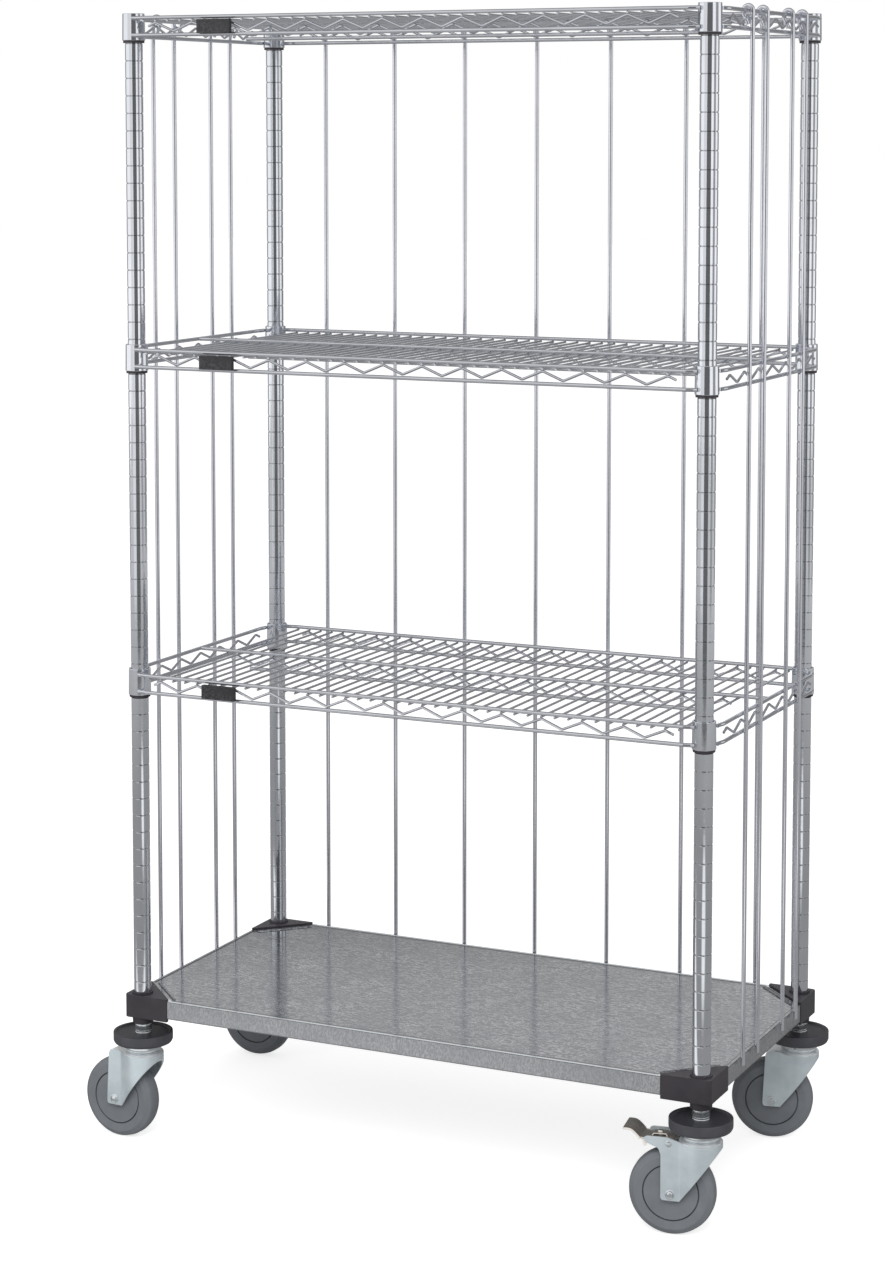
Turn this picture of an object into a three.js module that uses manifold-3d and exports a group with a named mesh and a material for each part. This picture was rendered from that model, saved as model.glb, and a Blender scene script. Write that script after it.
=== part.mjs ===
// Mobile enclosure cart: four grooved posts carry three welded wire shelves and one solid
// bottom shelf. Hooked rods close the back and both sides, and four swivel casters carry it.
// Millimetres, +Z up, +X to the right of someone facing the open front, +Y to the back.
// The origin is on the floor, under the middle of the whole cart with its wheels trailing left.
import * as THREE from 'three';
import { mergeVertices } from 'three/addons/utils/BufferGeometryUtils.js';
import Module from 'manifold-3d';

const wasm = await Module();
wasm.setup();

// Fits
const fit = 0.3;                  // between pieces that touch
const sink = 0.3;                 // how far a welded piece reaches into the one that carries it
const overrun = 5;                // cutters reach this far past what they cut
const grid = 0.001;               // vertices are rounded to this

// Cart
const postSpanX = 876;            // between post centres, side to side
const postSpanY = 419;            // between post centres, front to back
const firstCollarZ = 669;         // floor to the lowest wire shelf's collars
const shelfPitch = 475;           // from one wire shelf to the next
const roundSides = 12;            // sides of posts, sleeves and collars

// Post
const postRadius = 12.7;
const postWall = 1.5;
const capThick = 2.5;
const capDrop = 1.2;              // chamfer at the post's capped top

// Collar and sleeve
const collarHeight = 38.5;
const collarRadiusBottom = 16.5;
const collarRadiusTop = 16;
const sleeveLip = 3.5;            // the sleeve shows this far below its collar
const sleeveRadiusBottom = 15.3;
const sleeveRadiusTop = 14;

// Wire shelf
const rimWireRadius = 2.8;
const rimOffsetX = 19;            // side wires lie this far outside the post centres
const rimOffsetY = 18.8;          // front and back wires, likewise
const rimEndInset = 7;            // wires end this far inboard of the post centre
const rimBendRun = 16;            // and bend in over this run to meet the collar
const bottomWireRise = 7;         // wire centre above the collar's bottom
const topWireRise = 31.5;
const zigzagRadius = 1.9;
const zigzagClear = 0.4;          // between the zigzag's free bends and the wires beside it
const topWireLift = 0.2;          // middle and back top wires just clear the deck wires
const deckWireRadius = 1.7;
const deckWirePitch = 20;
const deckWireInset = 25;         // no deck wire is nearer than this to a post's centre
const wiresPerFold = 3;           // deck wires from one zigzag crest to the next
const frontFoldInset = 40;        // no crest of the front zigzag is nearer to a post's centre
const sideFoldPitch = 58;
const sideFoldInset = 25;         // nor of a side zigzag
const stubRun = 12;               // free end of the zigzag past its last crest
const middleOverhang = 10;        // the middle truss's bottom wire passes its last bend by this
const rimSides = 6;
const zigzagSides = 4;
const deckSides = 4;

// Label plate
const plateWidth = 53;
const plateCentreX = -291;
const plateBottomRise = 8;
const plateHeight = 20;
const plateDepth = 4.5;
const plateWall = 1.2;

// Corner block
const blockTopZ = 222;
const blockHeight = 34;
const blockOutX = 20;             // from the post centre to the outer faces
const blockOutY = 19.5;
const blockLeg = 72;
const blockCorner = 8;
const blockTip = 5;               // width of the blunt tips
const ringRadius = 15;            // raised ring round the post
const ringHeight = 2.6;
const socketFloor = 9;            // post's seat above the block's underside
const neckDrop = 11;              // neck under the block

// Bottom shelf
const deckDrop = 2.7;             // deck rim below the block's top
const rimHeight = 26.5;
const shelfRecess = 1;            // rim behind the corner blocks' outer faces
const sheet = 1.4;
const hemWidth = 4.5;
const hemRise = 0.8;

// Rods
const rodRadius = 3.1;
const hookSides = 6;
const hookGap = 0.3;              // between the hook's bore and the shelf wire
const hookSteps = 5;
const hookTurn = 200;             // degrees of arc
const hookTail = 5;
const rodFootDrop = 21.3;         // the rods end this far below the deck's rim
const backRods = 7;
const backRodShare = 0.137;       // of the post span from one back rod to the next
const sideRodPlaces = [54, 114];  // from the cart's middle, front and back alike

// Caster
const wheelRadius = 60;
const wheelWidth = 32;
const wheelSides = 20;
const trail = 38;                 // axle behind the stem
const hubRadius = 39;             // hub cap
const hubSink = 1.6;
const treadHalfWidth = 9;
const tyreShoulderDrop = 4;           // fall of the tyre's shoulder
const axleRadius = 4;
const hubBossRadius = 12;
const crownRadius = 30;
const crownTopZ = 134.2;
const crownThick = 4.5;
const crownShoulder = 3.4;
const raceRadiusLower = 25;
const raceRadius = 28;
const raceTopZ = 149.3;
const raceHeight = 12.3;
const raceEdge = 3;
const stemRadius = 10.85;
const stemTopZ = 176.6;
const stemWaist = 9.4;
const stemWaistTopZ = 167;
const bumperRadius = 44;
const bumperTopZ = 164.7;
const bumperLip = 3.6;
const bumperSide = 11.5;          // height of the outer band
const bumperDish = 6;             // floor of the dish below the rim
const bumperSides = 16;
const legOut = 21.5;              // outer face of a fork leg from the wheel's middle
const legWall = 2.4;
const creaseRun = 25;             // flat part of the leg starts this far behind the stem
const legTailTop = 44;            // trailing edge at the top
const legTail = 51;               // trailing edge at the axle
const legTopZ = 130.8;            // where the leg runs into the crown
const legRearTopZ = 134.6;        // at the leg's rear corner
const legBottomZ = 51.5;
const legLeadTopZ = 124.5;        // leading edge where it meets the crown
const legRound = 4;
const earTail = 74;               // brake fork's ears reach this far back
const earTopZ = 138.6;
const earTipDrop = 5;
const earRootZ = 119.5;
const arcSides = 8;
const boltHeadRadius = 6.25;
const boltHeadDepth = 3.4;
const nutRadius = 7.5;
const nutDepth = 5;
const nutSides = 6;
const pinBehind = 40;             // brake pin behind the stem
const pinZ = 130.4;
const pinRadius = 3;
const pinHeadRadius = 4.5;
const pinHeadDepth = 1.6;
const casterTurns = { FR: -170.7, BR: -166, FL: 176, BL: 180 };
const braked = ['FR', 'BL'];

// Brake
const pedalWidth = 42;
const pedalThick = 3;
const pedalTopZ = 147.3;
const pedalLipReach = 30;         // places along the pedal, behind the fork's ears
const pedalFlatReach = 20;
const pedalKneeReach = 12;
const pedalKneeDrop = 3.8;
const pedalRootReach = 4.5;
const pedalRootDrop = 10.6;
const leverEndInset = 4;
const leverEndDrop = 12;
const leverTopDrop = 12.4;
const leverFrontRun = 33;
const leverUnderZ = 124;
const leverSide = 0.7;            // lever to the fork's legs
const pinPlay = 0.7;

// Derived places
const halfX = postSpanX / 2;
const halfY = postSpanY / 2;
const rimX = halfX + rimOffsetX;
const rimY = halfY + rimOffsetY;
const rimReach = rimWireRadius / Math.cos(Math.PI / rimSides);
const deckWireRise = topWireRise - rimWireRadius - deckWireRadius;
const crestRise = deckWireRise - deckWireRadius - zigzagRadius - zigzagClear;
const troughRise = bottomWireRise + rimWireRadius + zigzagRadius + zigzagClear;
const foldPitch = wiresPerFold * deckWirePitch;
const deckWireCount = 2 * Math.floor((halfX - deckWireInset) / deckWirePitch + 1 / 2);
const frontFolds = 2 * Math.floor((halfX - frontFoldInset) / foldPitch + 1 / 2);
const sideFolds = 1 + 2 * Math.floor((halfY - sideFoldInset) / sideFoldPitch);
const middleEnd = (frontFolds / 2 - 1) * foldPitch + middleOverhang;
const backRodPitch = deckWirePitch * Math.round(backRodShare * postSpanX / deckWirePitch);
const collarLevels = [0, 1, 2].map((level) => firstCollarZ + level * shelfPitch);
const postTopZ = collarLevels[2] + collarHeight;
const postFootZ = blockTopZ - blockHeight + socketFloor + fit;
const deckZ = blockTopZ - deckDrop;
const pedalLipRun = earTail + pedalLipReach;
const pedalFlatRun = earTail + pedalFlatReach;
const pedalKneeRun = earTail + pedalKneeReach;
const pedalRootRun = earTail + pedalRootReach;
const leverEndRun = earTail - leverEndInset;
const centreShift = (pedalLipRun - bumperRadius) / 2;
const corners = [['FL', -1, -1], ['FR', 1, -1], ['BL', -1, 1], ['BR', 1, 1]];

// Materials
const finish = (color, roughness, metalness) =>
  new THREE.MeshStandardMaterial({ color, roughness, metalness });
const chrome = () => finish(0xc9cbce, 0.18, 1);
const galvanised = () => finish(0x96999c, 0.42, 0.9);
const zincPlate = () => finish(0xafbec3, 0.32, 0.9);
const blackPlastic = () => finish(0x2b272c, 0.45, 0);
const bumperRubber = () => finish(0x3c3e42, 0.6, 0);
const greyTyre = () => finish(0x767a7c, 0.65, 0);
const pedalSteel = () => finish(0x57504a, 0.35, 0.8);

// Solids
// A closed geometry becomes a solid: seams merged, vertices on the grid, faces outward.
function solid(geometry) {
  const plain = new THREE.BufferGeometry();
  const source = geometry.getAttribute('position');
  const rounded = Float32Array.from(source.array, (value) => Math.round(value / grid) * grid);
  plain.setAttribute('position', new THREE.BufferAttribute(rounded, 3));
  if (geometry.index) plain.setIndex(geometry.index.clone());
  const merged = mergeVertices(plain, grid / 2);
  const corners3 = merged.index.array;
  const kept = [];
  for (let i = 0; i < corners3.length; i += 3) {
    const [a, b, c] = [corners3[i], corners3[i + 1], corners3[i + 2]];
    if (a !== b && b !== c && c !== a) kept.push(a, b, c);
  }
  const vertices = merged.getAttribute('position').array;
  if (signedVolume(vertices, kept) < 0) kept.reverse();
  return new wasm.Manifold(new wasm.Mesh({
    numProp: 3,
    vertProperties: new Float32Array(vertices),
    triVerts: new Uint32Array(kept),
  }));
}

function signedVolume(vertices, triangles) {
  const at = (i) => new THREE.Vector3().fromArray(vertices, triangles[i] * 3);
  let volume = 0;
  for (let i = 0; i < triangles.length; i += 3) {
    volume += at(i).dot(at(i + 1).cross(at(i + 2)));
  }
  return volume;
}

const join = (solids) => wasm.Manifold.union(solids);

// A solid of revolution about Z from [radius, height] pairs, with flats facing X and Y.
function turned(profile, sides) {
  const points = profile.map(([radius, height]) => new THREE.Vector2(radius, height));
  const onAxis = profile[0][0] === 0;
  if (!onAxis) points.push(points[0].clone());
  return solid(new THREE.LatheGeometry(points, sides, Math.PI / sides).rotateX(Math.PI / 2));
}

// A plan outline of [x, y] pairs, raised from one level to another.
function raised(outline, bottomZ, topZ) {
  const shape = new THREE.Shape(outline.map(([x, y]) => new THREE.Vector2(x, y)));
  const options = { depth: topZ - bottomZ, bevelEnabled: false };
  return solid(new THREE.ExtrudeGeometry(shape, options).translate(0, 0, bottomZ));
}

// A side outline of [run, z] pairs, extruded across the caster and centred on its plane.
function across(outline, width, holes = []) {
  const shape = new THREE.Shape(outline.map(([x, y]) => new THREE.Vector2(x, y)));
  shape.holes = holes;
  const options = { depth: width, bevelEnabled: false, curveSegments: arcSides };
  const side = new THREE.ExtrudeGeometry(shape, options).translate(0, 0, -width / 2);
  return solid(side.rotateX(Math.PI / 2));
}

// A wire along a flat polyline. `square` is the unit normal of the polyline's plane.
// The section is a polygon round the true circle, with flats facing along `square`.
function wire(points, radius, sides, square) {
  const runs = points.slice(1).map((point, i) => point.clone().sub(points[i]).normalize());
  const sideways = runs.map((run) => run.clone().cross(square));
  const reach = radius / Math.cos(Math.PI / sides);
  const positions = [];
  const triangles = [];
  points.forEach((point, i) => {
    const before = sideways[Math.max(i - 1, 0)];
    const after = sideways[Math.min(i, sideways.length - 1)];
    const mitre = before.clone().add(after).divideScalar(1 + before.dot(after));
    for (let k = 0; k < sides; k += 1) {
      const angle = (k + 1 / 2) * 2 * Math.PI / sides;
      const vertex = point.clone();
      vertex.addScaledVector(square, reach * Math.cos(angle));
      vertex.addScaledVector(mitre, reach * Math.sin(angle));
      positions.push(...vertex.toArray());
    }
  });
  for (let i = 0; i < runs.length; i += 1) {
    for (let k = 0; k < sides; k += 1) {
      const near = i * sides;
      const next = (k + 1) % sides;
      triangles.push(near + k, near + next, near + sides + next);
      triangles.push(near + k, near + sides + next, near + sides + k);
    }
  }
  const last = runs.length * sides;
  for (let k = 1; k < sides - 1; k += 1) {
    triangles.push(0, k + 1, k);
    triangles.push(last, last + k, last + k + 1);
  }
  const geometry = new THREE.BufferGeometry();
  geometry.setAttribute('position', new THREE.Float32BufferAttribute(positions, 3));
  geometry.setIndex(triangles);
  return solid(geometry);
}

function mesh(name, body, material) {
  const { numProp, vertProperties, triVerts } = body.getMesh();
  const geometry = new THREE.BufferGeometry();
  geometry.setAttribute('position', new THREE.BufferAttribute(vertProperties, numProp));
  geometry.setIndex(new THREE.BufferAttribute(triVerts, 1));
  geometry.computeVertexNormals();
  const piece = new THREE.Mesh(geometry, material);
  piece.name = name;
  return piece;
}

const point = (x, y, z) => new THREE.Vector3(x, y, z);
const alongX = point(1, 0, 0);
const alongY = point(0, 1, 0);
const alongZ = point(0, 0, 1);

// Post: a tube, open at the foot and capped at the top
function postSolid() {
  return turned([
    [0, postTopZ - capThick],
    [postRadius - postWall, postTopZ - capThick],
    [postRadius - postWall, postFootZ],
    [postRadius, postFootZ],
    [postRadius, postTopZ - capDrop],
    [postRadius - capDrop, postTopZ],
    [0, postTopZ],
  ], roundSides);
}

// Sleeve: a tapered ring wedged between post and collar
function sleeveSolid() {
  const bore = postRadius + fit;
  return turned([
    [bore, -sleeveLip],
    [sleeveRadiusBottom, -sleeveLip],
    [sleeveRadiusTop, collarHeight - fit],
    [bore, collarHeight - fit],
  ], roundSides);
}

// Wire shelf, on the level of its collars' bottoms
function collarSolid() {
  const lipShare = sleeveLip / (sleeveLip + collarHeight);
  const boreBottom = sleeveRadiusBottom
    - (sleeveRadiusBottom - sleeveRadiusTop) * lipShare + fit;
  return turned([
    [boreBottom, 0],
    [collarRadiusBottom, 0],
    [collarRadiusTop, collarHeight],
    [sleeveRadiusTop + fit, collarHeight],
  ], roundSides);
}

// How far outside the post centre a rim wire's end lies, welded to its collar's face.
function rimSeat(rise) {
  const taper = (collarRadiusBottom - collarRadiusTop) * rise / collarHeight;
  const face = (collarRadiusBottom - taper) * Math.cos(Math.PI / roundSides) - sink;
  return Math.sqrt(face ** 2 - rimEndInset ** 2) + rimWireRadius;
}

// Front or back wire, bent in at both ends to lie on its collars.
function longRimWire(side, rise) {
  const end = halfX - rimEndInset;
  const straight = end - rimBendRun;
  const inner = side * (halfY + rimSeat(rise));
  return wire([
    point(-end, inner, rise),
    point(-straight, side * rimY, rise),
    point(straight, side * rimY, rise),
    point(end, inner, rise),
  ], rimWireRadius, rimSides, alongZ);
}

function shortRimWire(side, rise) {
  const end = halfY - rimEndInset;
  const straight = end - rimBendRun;
  const inner = side * (halfX + rimSeat(rise));
  return wire([
    point(inner, -end, rise),
    point(side * rimX, -straight, rise),
    point(side * rimX, straight, rise),
    point(inner, end, rise),
  ], rimWireRadius, rimSides, alongZ);
}

// Zigzag as [run, rise] pairs: crests `pitch` apart, troughs midway, a free stub at each end.
// The end troughs and the middle one are welded to the bottom wire; the others just clear it.
// The middle truss's end crests are welded to deck wires in the same way.
function zigzagPairs(pitch, folds, crestsWelded) {
  const firstCrest = -(folds - 1) / 2 * pitch;
  const slope = (crestRise - troughRise) / (pitch / 2);
  const weldReach = zigzagClear + sink;
  const pairs = [[firstCrest - stubRun, crestRise - stubRun * slope]];
  for (let fold = 0; fold < folds; fold += 1) {
    const crest = firstCrest + fold * pitch;
    const atEnd = fold === 0 || fold === folds - 1;
    pairs.push([crest, crestRise + (crestsWelded && atEnd ? weldReach : 0)]);
    if (fold === folds - 1) break;
    const welded = [0, Math.floor(folds / 2) - 1, folds - 2].includes(fold);
    pairs.push([crest + pitch / 2, troughRise - (welded ? weldReach : 0)]);
  }
  pairs.push([-firstCrest + stubRun, crestRise - stubRun * slope]);
  return pairs;
}

function longZigzag(y, crestsWelded = false) {
  const pairs = zigzagPairs(foldPitch, frontFolds, crestsWelded);
  const points = pairs.map(([run, rise]) => point(run, y, rise));
  return wire(points, zigzagRadius, zigzagSides, alongY);
}

function shortZigzag(x) {
  const points = zigzagPairs(sideFoldPitch, sideFolds).map(([run, rise]) => point(x, run, rise));
  return wire(points, zigzagRadius, zigzagSides, alongX);
}

// The middle truss: its top wire is welded to both side wires, its bottom wire ends free.
function middleTruss() {
  const top = rimX - rimWireRadius + sink;
  const ends = (reach, rise) => [point(-reach, 0, rise), point(reach, 0, rise)];
  return [
    wire(ends(top, topWireRise + topWireLift), rimWireRadius, rimSides, alongZ),
    wire(ends(middleEnd, bottomWireRise), rimWireRadius, rimSides, alongZ),
    longZigzag(0, true),
  ];
}

// Deck wires lie under the front and back wires' flats and end flush with them. They are
// welded to the front wire, whose flat they meet face to face, and just clear the back one.
function deckWires() {
  const flatHalf = rimWireRadius * Math.tan(Math.PI / rimSides);
  const end = rimY + flatHalf;
  const first = -(deckWireCount - 1) / 2 * deckWirePitch;
  return Array.from({ length: deckWireCount }, (_, i) => {
    const x = first + i * deckWirePitch;
    const ends = [point(x, -end, deckWireRise), point(x, end, deckWireRise)];
    return wire(ends, deckWireRadius, deckSides, alongZ);
  });
}

function shelfSolid() {
  const parts = [...deckWires(), ...middleTruss()];
  for (const side of [-1, 1]) {
    const lift = side > 0 ? topWireLift : 0;
    parts.push(longRimWire(side, bottomWireRise), shortRimWire(side, bottomWireRise));
    parts.push(longRimWire(side, topWireRise + lift), shortRimWire(side, topWireRise));
    parts.push(longZigzag(side * rimY), shortZigzag(side * rimX));
  }
  const collar = collarSolid();
  for (const [, x, y] of corners) parts.push(collar.translate([x * halfX, y * halfY, 0]));
  return join(parts);
}

// Label plate: a bare shallow box, open to the back, hung on the front rim wires
function plateSolid() {
  const left = plateCentreX - plateWidth / 2;
  const right = plateCentreX + plateWidth / 2;
  const back = -rimY - rimReach - fit;
  const face = back - plateDepth;
  const inside = face + plateWall;
  const outline = [
    [left, face], [right, face], [right, back], [right - plateWall, back],
    [right - plateWall, inside], [left + plateWall, inside], [left + plateWall, back],
    [left, back],
  ];
  return raised(outline, plateBottomRise, plateBottomRise + plateHeight);
}

// Corner block, drawn for the back right corner about its post centre
function blockOutline() {
  const insideX = blockOutX - blockLeg;
  const insideY = blockOutY - blockLeg;
  const outline = [
    [insideX, blockOutY],
    [insideX, blockOutY - blockTip],
    [blockOutX - blockTip, insideY],
    [blockOutX, insideY],
  ];
  for (let i = 0; i <= arcSides / 2; i += 1) {
    const angle = i / (arcSides / 2) * Math.PI / 2;
    outline.push([
      blockOutX - blockCorner + blockCorner * Math.cos(angle),
      blockOutY - blockCorner + blockCorner * Math.sin(angle),
    ]);
  }
  return outline;
}

function blockSolid() {
  const bottom = blockTopZ - blockHeight;
  const body = raised(blockOutline(), bottom, blockTopZ);
  const ring = turned([
    [0, bottom - neckDrop],
    [ringRadius, bottom - neckDrop],
    [ringRadius, blockTopZ + ringHeight],
    [0, blockTopZ + ringHeight],
  ], roundSides);
  const socket = turned([
    [0, bottom + socketFloor],
    [postRadius + fit, bottom + socketFloor],
    [postRadius + fit, blockTopZ + overrun],
    [0, blockTopZ + overrun],
  ], roundSides);
  return join([body, ring]).subtract(socket);
}

// Bottom shelf: an inverted pan with cut corners and a raised hem
function shelfOutline(inset) {
  const outX = halfX + blockOutX;
  const outY = halfY + blockOutY;
  const edge = shelfRecess + inset;
  const gap = fit + inset;
  const step = blockTip + gap * (Math.SQRT2 - 1);
  const outline = [];
  for (const [sideX, sideY] of [[1, -1], [1, 1], [-1, 1], [-1, -1]]) {
    const cut = [
      [outX - blockLeg - gap, outY - edge],
      [outX - blockLeg - gap, outY - step],
      [outX - step, outY - blockLeg - gap],
      [outX - edge, outY - blockLeg - gap],
    ].map(([x, y]) => [sideX * x, sideY * y]);
    outline.push(...(sideX === sideY ? cut.reverse() : cut));
  }
  return outline;
}

function bottomShelfSolid() {
  const rim = raised(shelfOutline(0), deckZ - rimHeight, deckZ);
  const underside = raised(
    shelfOutline(sheet), deckZ - rimHeight - overrun, deckZ - hemRise - sheet);
  const well = raised(shelfOutline(hemWidth), deckZ - hemRise, deckZ + overrun);
  return rim.subtract(underside).subtract(well);
}

// Rod: hooked over a rim wire that runs along X through the local origin
// The shank hangs on the +Y side, and the hook's tail comes down on the other.
function rodSolid() {
  const halfStep = THREE.MathUtils.degToRad(hookTurn) / hookSteps / 2;
  const rodReach = rodRadius / Math.cos(Math.PI / hookSides);
  const bend = (rimReach + hookGap + rodReach) / Math.cos(halfStep);
  const foot = deckZ - rodFootDrop - (collarLevels[2] + topWireRise);
  const points = [point(0, bend, foot)];
  for (let i = 0; i <= hookSteps; i += 1) {
    const angle = i / hookSteps * THREE.MathUtils.degToRad(hookTurn);
    points.push(point(0, bend * Math.cos(angle), bend * Math.sin(angle)));
  }
  const before = points[hookSteps];
  const end = points[hookSteps + 1];
  points.push(end.clone().addScaledVector(end.clone().sub(before).normalize(), hookTail));
  return wire(points, rodRadius, hookSides, alongX);
}

// Caster pieces, with the stem on the Z axis and the wheel trailing along +X
function stemSolid() {
  return turned([
    [0, raceTopZ - raceHeight],
    [raceRadius - raceEdge, raceTopZ - raceHeight],
    [raceRadius, raceTopZ - raceHeight + raceEdge],
    [raceRadius, raceTopZ],
    [stemWaist, raceTopZ],
    [stemWaist, stemWaistTopZ],
    [stemRadius, stemWaistTopZ],
    [stemRadius, stemTopZ],
    [0, stemTopZ],
  ], roundSides);
}

function bumperSolid() {
  const bore = stemWaist + fit;
  const foot = raceTopZ + fit;
  const edge = bumperRadius / Math.cos(Math.PI / bumperSides);
  return turned([
    [bore, foot],
    [raceRadius, foot],
    [edge, bumperTopZ - bumperSide],
    [edge, bumperTopZ],
    [edge - bumperLip, bumperTopZ],
    [edge - 2 * bumperLip, bumperTopZ - bumperDish],
    [bore, bumperTopZ - bumperDish / 2],
  ], bumperSides);
}

// Wheel about its axle, which lies along Y at the local origin.
function wheelSolid() {
  const half = wheelWidth / 2;
  const flat = wheelRadius / Math.cos(Math.PI / wheelSides);
  const hubEnd = legOut - legWall - fit;
  const halfProfile = [
    [axleRadius + fit, hubEnd],
    [hubBossRadius, hubEnd],
    [hubBossRadius, half - hubSink],
    [hubRadius, half - hubSink],
    [flat - tyreShoulderDrop, half],
    [flat, treadHalfWidth],
  ];
  const lower = halfProfile.map(([radius, height]) => [radius, -height]);
  return turned([...halfProfile.reverse(), ...lower], wheelSides).rotate([90, 0, 0]);
}

// The fork's pressed sheet in plan: two flat legs that flare into the round crown.
function forkPlan(inset) {
  const leg = legOut - inset;
  const round = crownRadius - inset;
  const reach = Math.hypot(creaseRun, leg);
  const start = Math.atan2(leg, creaseRun) + Math.acos(round / reach);
  const steps = arcSides * 2;
  const plan = [[earTail + overrun, -leg], [creaseRun, -leg]];
  for (let i = 0; i <= steps; i += 1) {
    const angle = -start - i / steps * (2 * Math.PI - 2 * start);
    plan.push([round * Math.cos(angle), round * Math.sin(angle)]);
  }
  plan.push([creaseRun, leg], [earTail + overrun, leg]);
  return plan;
}

// The legs' side outline. A braked fork has ears behind the legs that carry the brake pin.
function legOutline(hasBrake) {
  const outline = [
    [creaseRun, legBottomZ],
    [legTail - legRound, legBottomZ],
    [legTail, legBottomZ + legRound],
  ];
  if (hasBrake) {
    outline.push(
      [legTail, earRootZ - legRound],
      [legTail + legRound, earRootZ + legRound],
      [earTail - legRound, earTopZ - 2 * earTipDrop],
      [earTail, earTopZ - earTipDrop],
      [earTail - legRound / 2, earTopZ],
      [pinBehind, earTopZ],
      [creaseRun / 2, legTopZ],
    );
  } else {
    outline.push(
      [legTailTop + legRound, legRearTopZ - 2 * legRound],
      [legTailTop, legRearTopZ],
      [creaseRun / 2, legTopZ],
    );
  }
  outline.push([-crownRadius - overrun, legTopZ], [-crownRadius - overrun, legLeadTopZ]);
  outline.push([-crownRadius, legLeadTopZ]);
  return outline;
}

function crownSolid() {
  const inner = crownRadius - legWall / 2;
  const under = crownTopZ - crownThick;
  return turned([
    [0, under],
    [inner, under],
    [inner, crownTopZ - crownShoulder],
    [inner - crownShoulder, crownTopZ],
    [raceRadiusLower, crownTopZ],
    [raceRadiusLower, raceTopZ - raceHeight - fit],
    [0, raceTopZ - raceHeight - fit],
  ], roundSides);
}

function axleSolid() {
  const shank = [[0, -legOut], [axleRadius, -legOut], [axleRadius, legOut], [0, legOut]];
  const head = [
    [0, -legOut - boltHeadDepth],
    [boltHeadRadius / 2, -legOut - boltHeadDepth],
    [boltHeadRadius, -legOut - boltHeadDepth / 2],
    [boltHeadRadius, -legOut + sink],
    [0, -legOut + sink],
  ];
  const nut = [
    [0, legOut - sink],
    [nutRadius, legOut - sink],
    [nutRadius, legOut + nutDepth],
    [0, legOut + nutDepth],
  ];
  return join([turned(shank, arcSides), turned(head, arcSides), turned(nut, nutSides)])
    .rotate([90, 0, 0]);
}

function pinSolid() {
  const end = legOut + pinHeadDepth;
  return turned([
    [0, -end],
    [pinHeadRadius, -end],
    [pinHeadRadius, -legOut + sink],
    [pinRadius, -legOut + sink],
    [pinRadius, legOut - sink],
    [pinHeadRadius, legOut - sink],
    [pinHeadRadius, end],
    [0, end],
  ], arcSides).rotate([90, 0, 0]);
}

function forkSolid(hasBrake) {
  const shell = raised(forkPlan(0), legBottomZ - overrun, legTopZ + overrun * 2)
    .subtract(raised(forkPlan(legWall), legBottomZ - 2 * overrun, legTopZ + overrun * 3));
  const legs = shell.intersect(across(legOutline(hasBrake), 2 * crownRadius + overrun));
  const parts = [legs, crownSolid(), axleSolid().translate([trail, 0, wheelRadius])];
  if (hasBrake) parts.push(pinSolid().translate([pinBehind, 0, pinZ]));
  return join(parts);
}

// The pedal and its lever, one pressing that turns on the brake pin.
function brakeSolid() {
  const pedal = across([
    [pedalLipRun, pedalTopZ - pedalThick],
    [pedalLipRun, pedalTopZ],
    [pedalFlatRun, pedalTopZ],
    [pedalKneeRun, pedalTopZ - pedalKneeDrop],
    [pedalRootRun, pedalTopZ - pedalRootDrop],
    [leverEndRun, pedalTopZ - leverEndDrop],
    [leverEndRun, pedalTopZ - leverEndDrop - pedalThick],
    [pedalRootRun + pedalThick / 2, pedalTopZ - pedalRootDrop - pedalThick],
    [pedalKneeRun + pedalThick / 2, pedalTopZ - pedalKneeDrop - pedalThick],
    [pedalFlatRun + pedalThick / 2, pedalTopZ - pedalThick],
  ], pedalWidth);
  const beyondEars = across([
    [earTail + fit, pedalTopZ],
    [pedalLipRun + overrun, pedalTopZ + overrun],
    [pedalLipRun + overrun, leverUnderZ],
    [earTail + fit, leverUnderZ],
  ], pedalWidth + overrun);
  const hole = new THREE.Path();
  hole.absarc(pinBehind, pinZ, pinRadius + pinPlay, 0, 2 * Math.PI, true);
  const leverWidth = 2 * (legOut - legWall - leverSide);
  const lever = across([
    [leverFrontRun, leverUnderZ],
    [earTail, leverUnderZ + pedalThick],
    [pedalRootRun + pedalThick / 2, pedalTopZ - pedalRootDrop - pedalThick],
    [pedalRootRun, pedalTopZ - pedalRootDrop],
    [leverEndRun, pedalTopZ - leverEndDrop],
    [pinBehind, pedalTopZ - leverTopDrop + pedalThick / 2],
    [leverFrontRun, pedalTopZ - leverTopDrop],
  ], leverWidth, [hole]);
  return join([pedal.intersect(beyondEars), lever]);
}

// The cart
const cart = new THREE.Group();
const frame = new THREE.Group();
frame.position.x = centreShift;
cart.add(frame);

const post = postSolid();
const block = blockSolid();
for (const [name, x, y] of corners) {
  const upright = mesh(`post_${name}`, post, chrome());
  upright.position.set(x * halfX, y * halfY, 0);
  const corner = mesh(`corner_block_${name}`, block.scale([x, y, 1]), blackPlastic());
  corner.position.copy(upright.position);
  frame.add(upright, corner);
}

const shelf = shelfSolid();
const plate = plateSolid();
const sleeve = sleeveSolid();
collarLevels.forEach((level, i) => {
  const storey = new THREE.Group();
  storey.position.z = level;
  storey.add(mesh(`wire_shelf_${i + 1}`, shelf, chrome()));
  storey.add(mesh(`label_plate_${i + 1}`, plate, blackPlastic()));
  for (const [name, x, y] of corners) {
    const ring = mesh(`sleeve_${i + 1}_${name}`, sleeve, blackPlastic());
    ring.position.set(x * halfX, y * halfY, 0);
    storey.add(ring);
  }
  frame.add(storey);
});

frame.add(mesh('bottom_shelf', bottomShelfSolid(), galvanised()));

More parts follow.
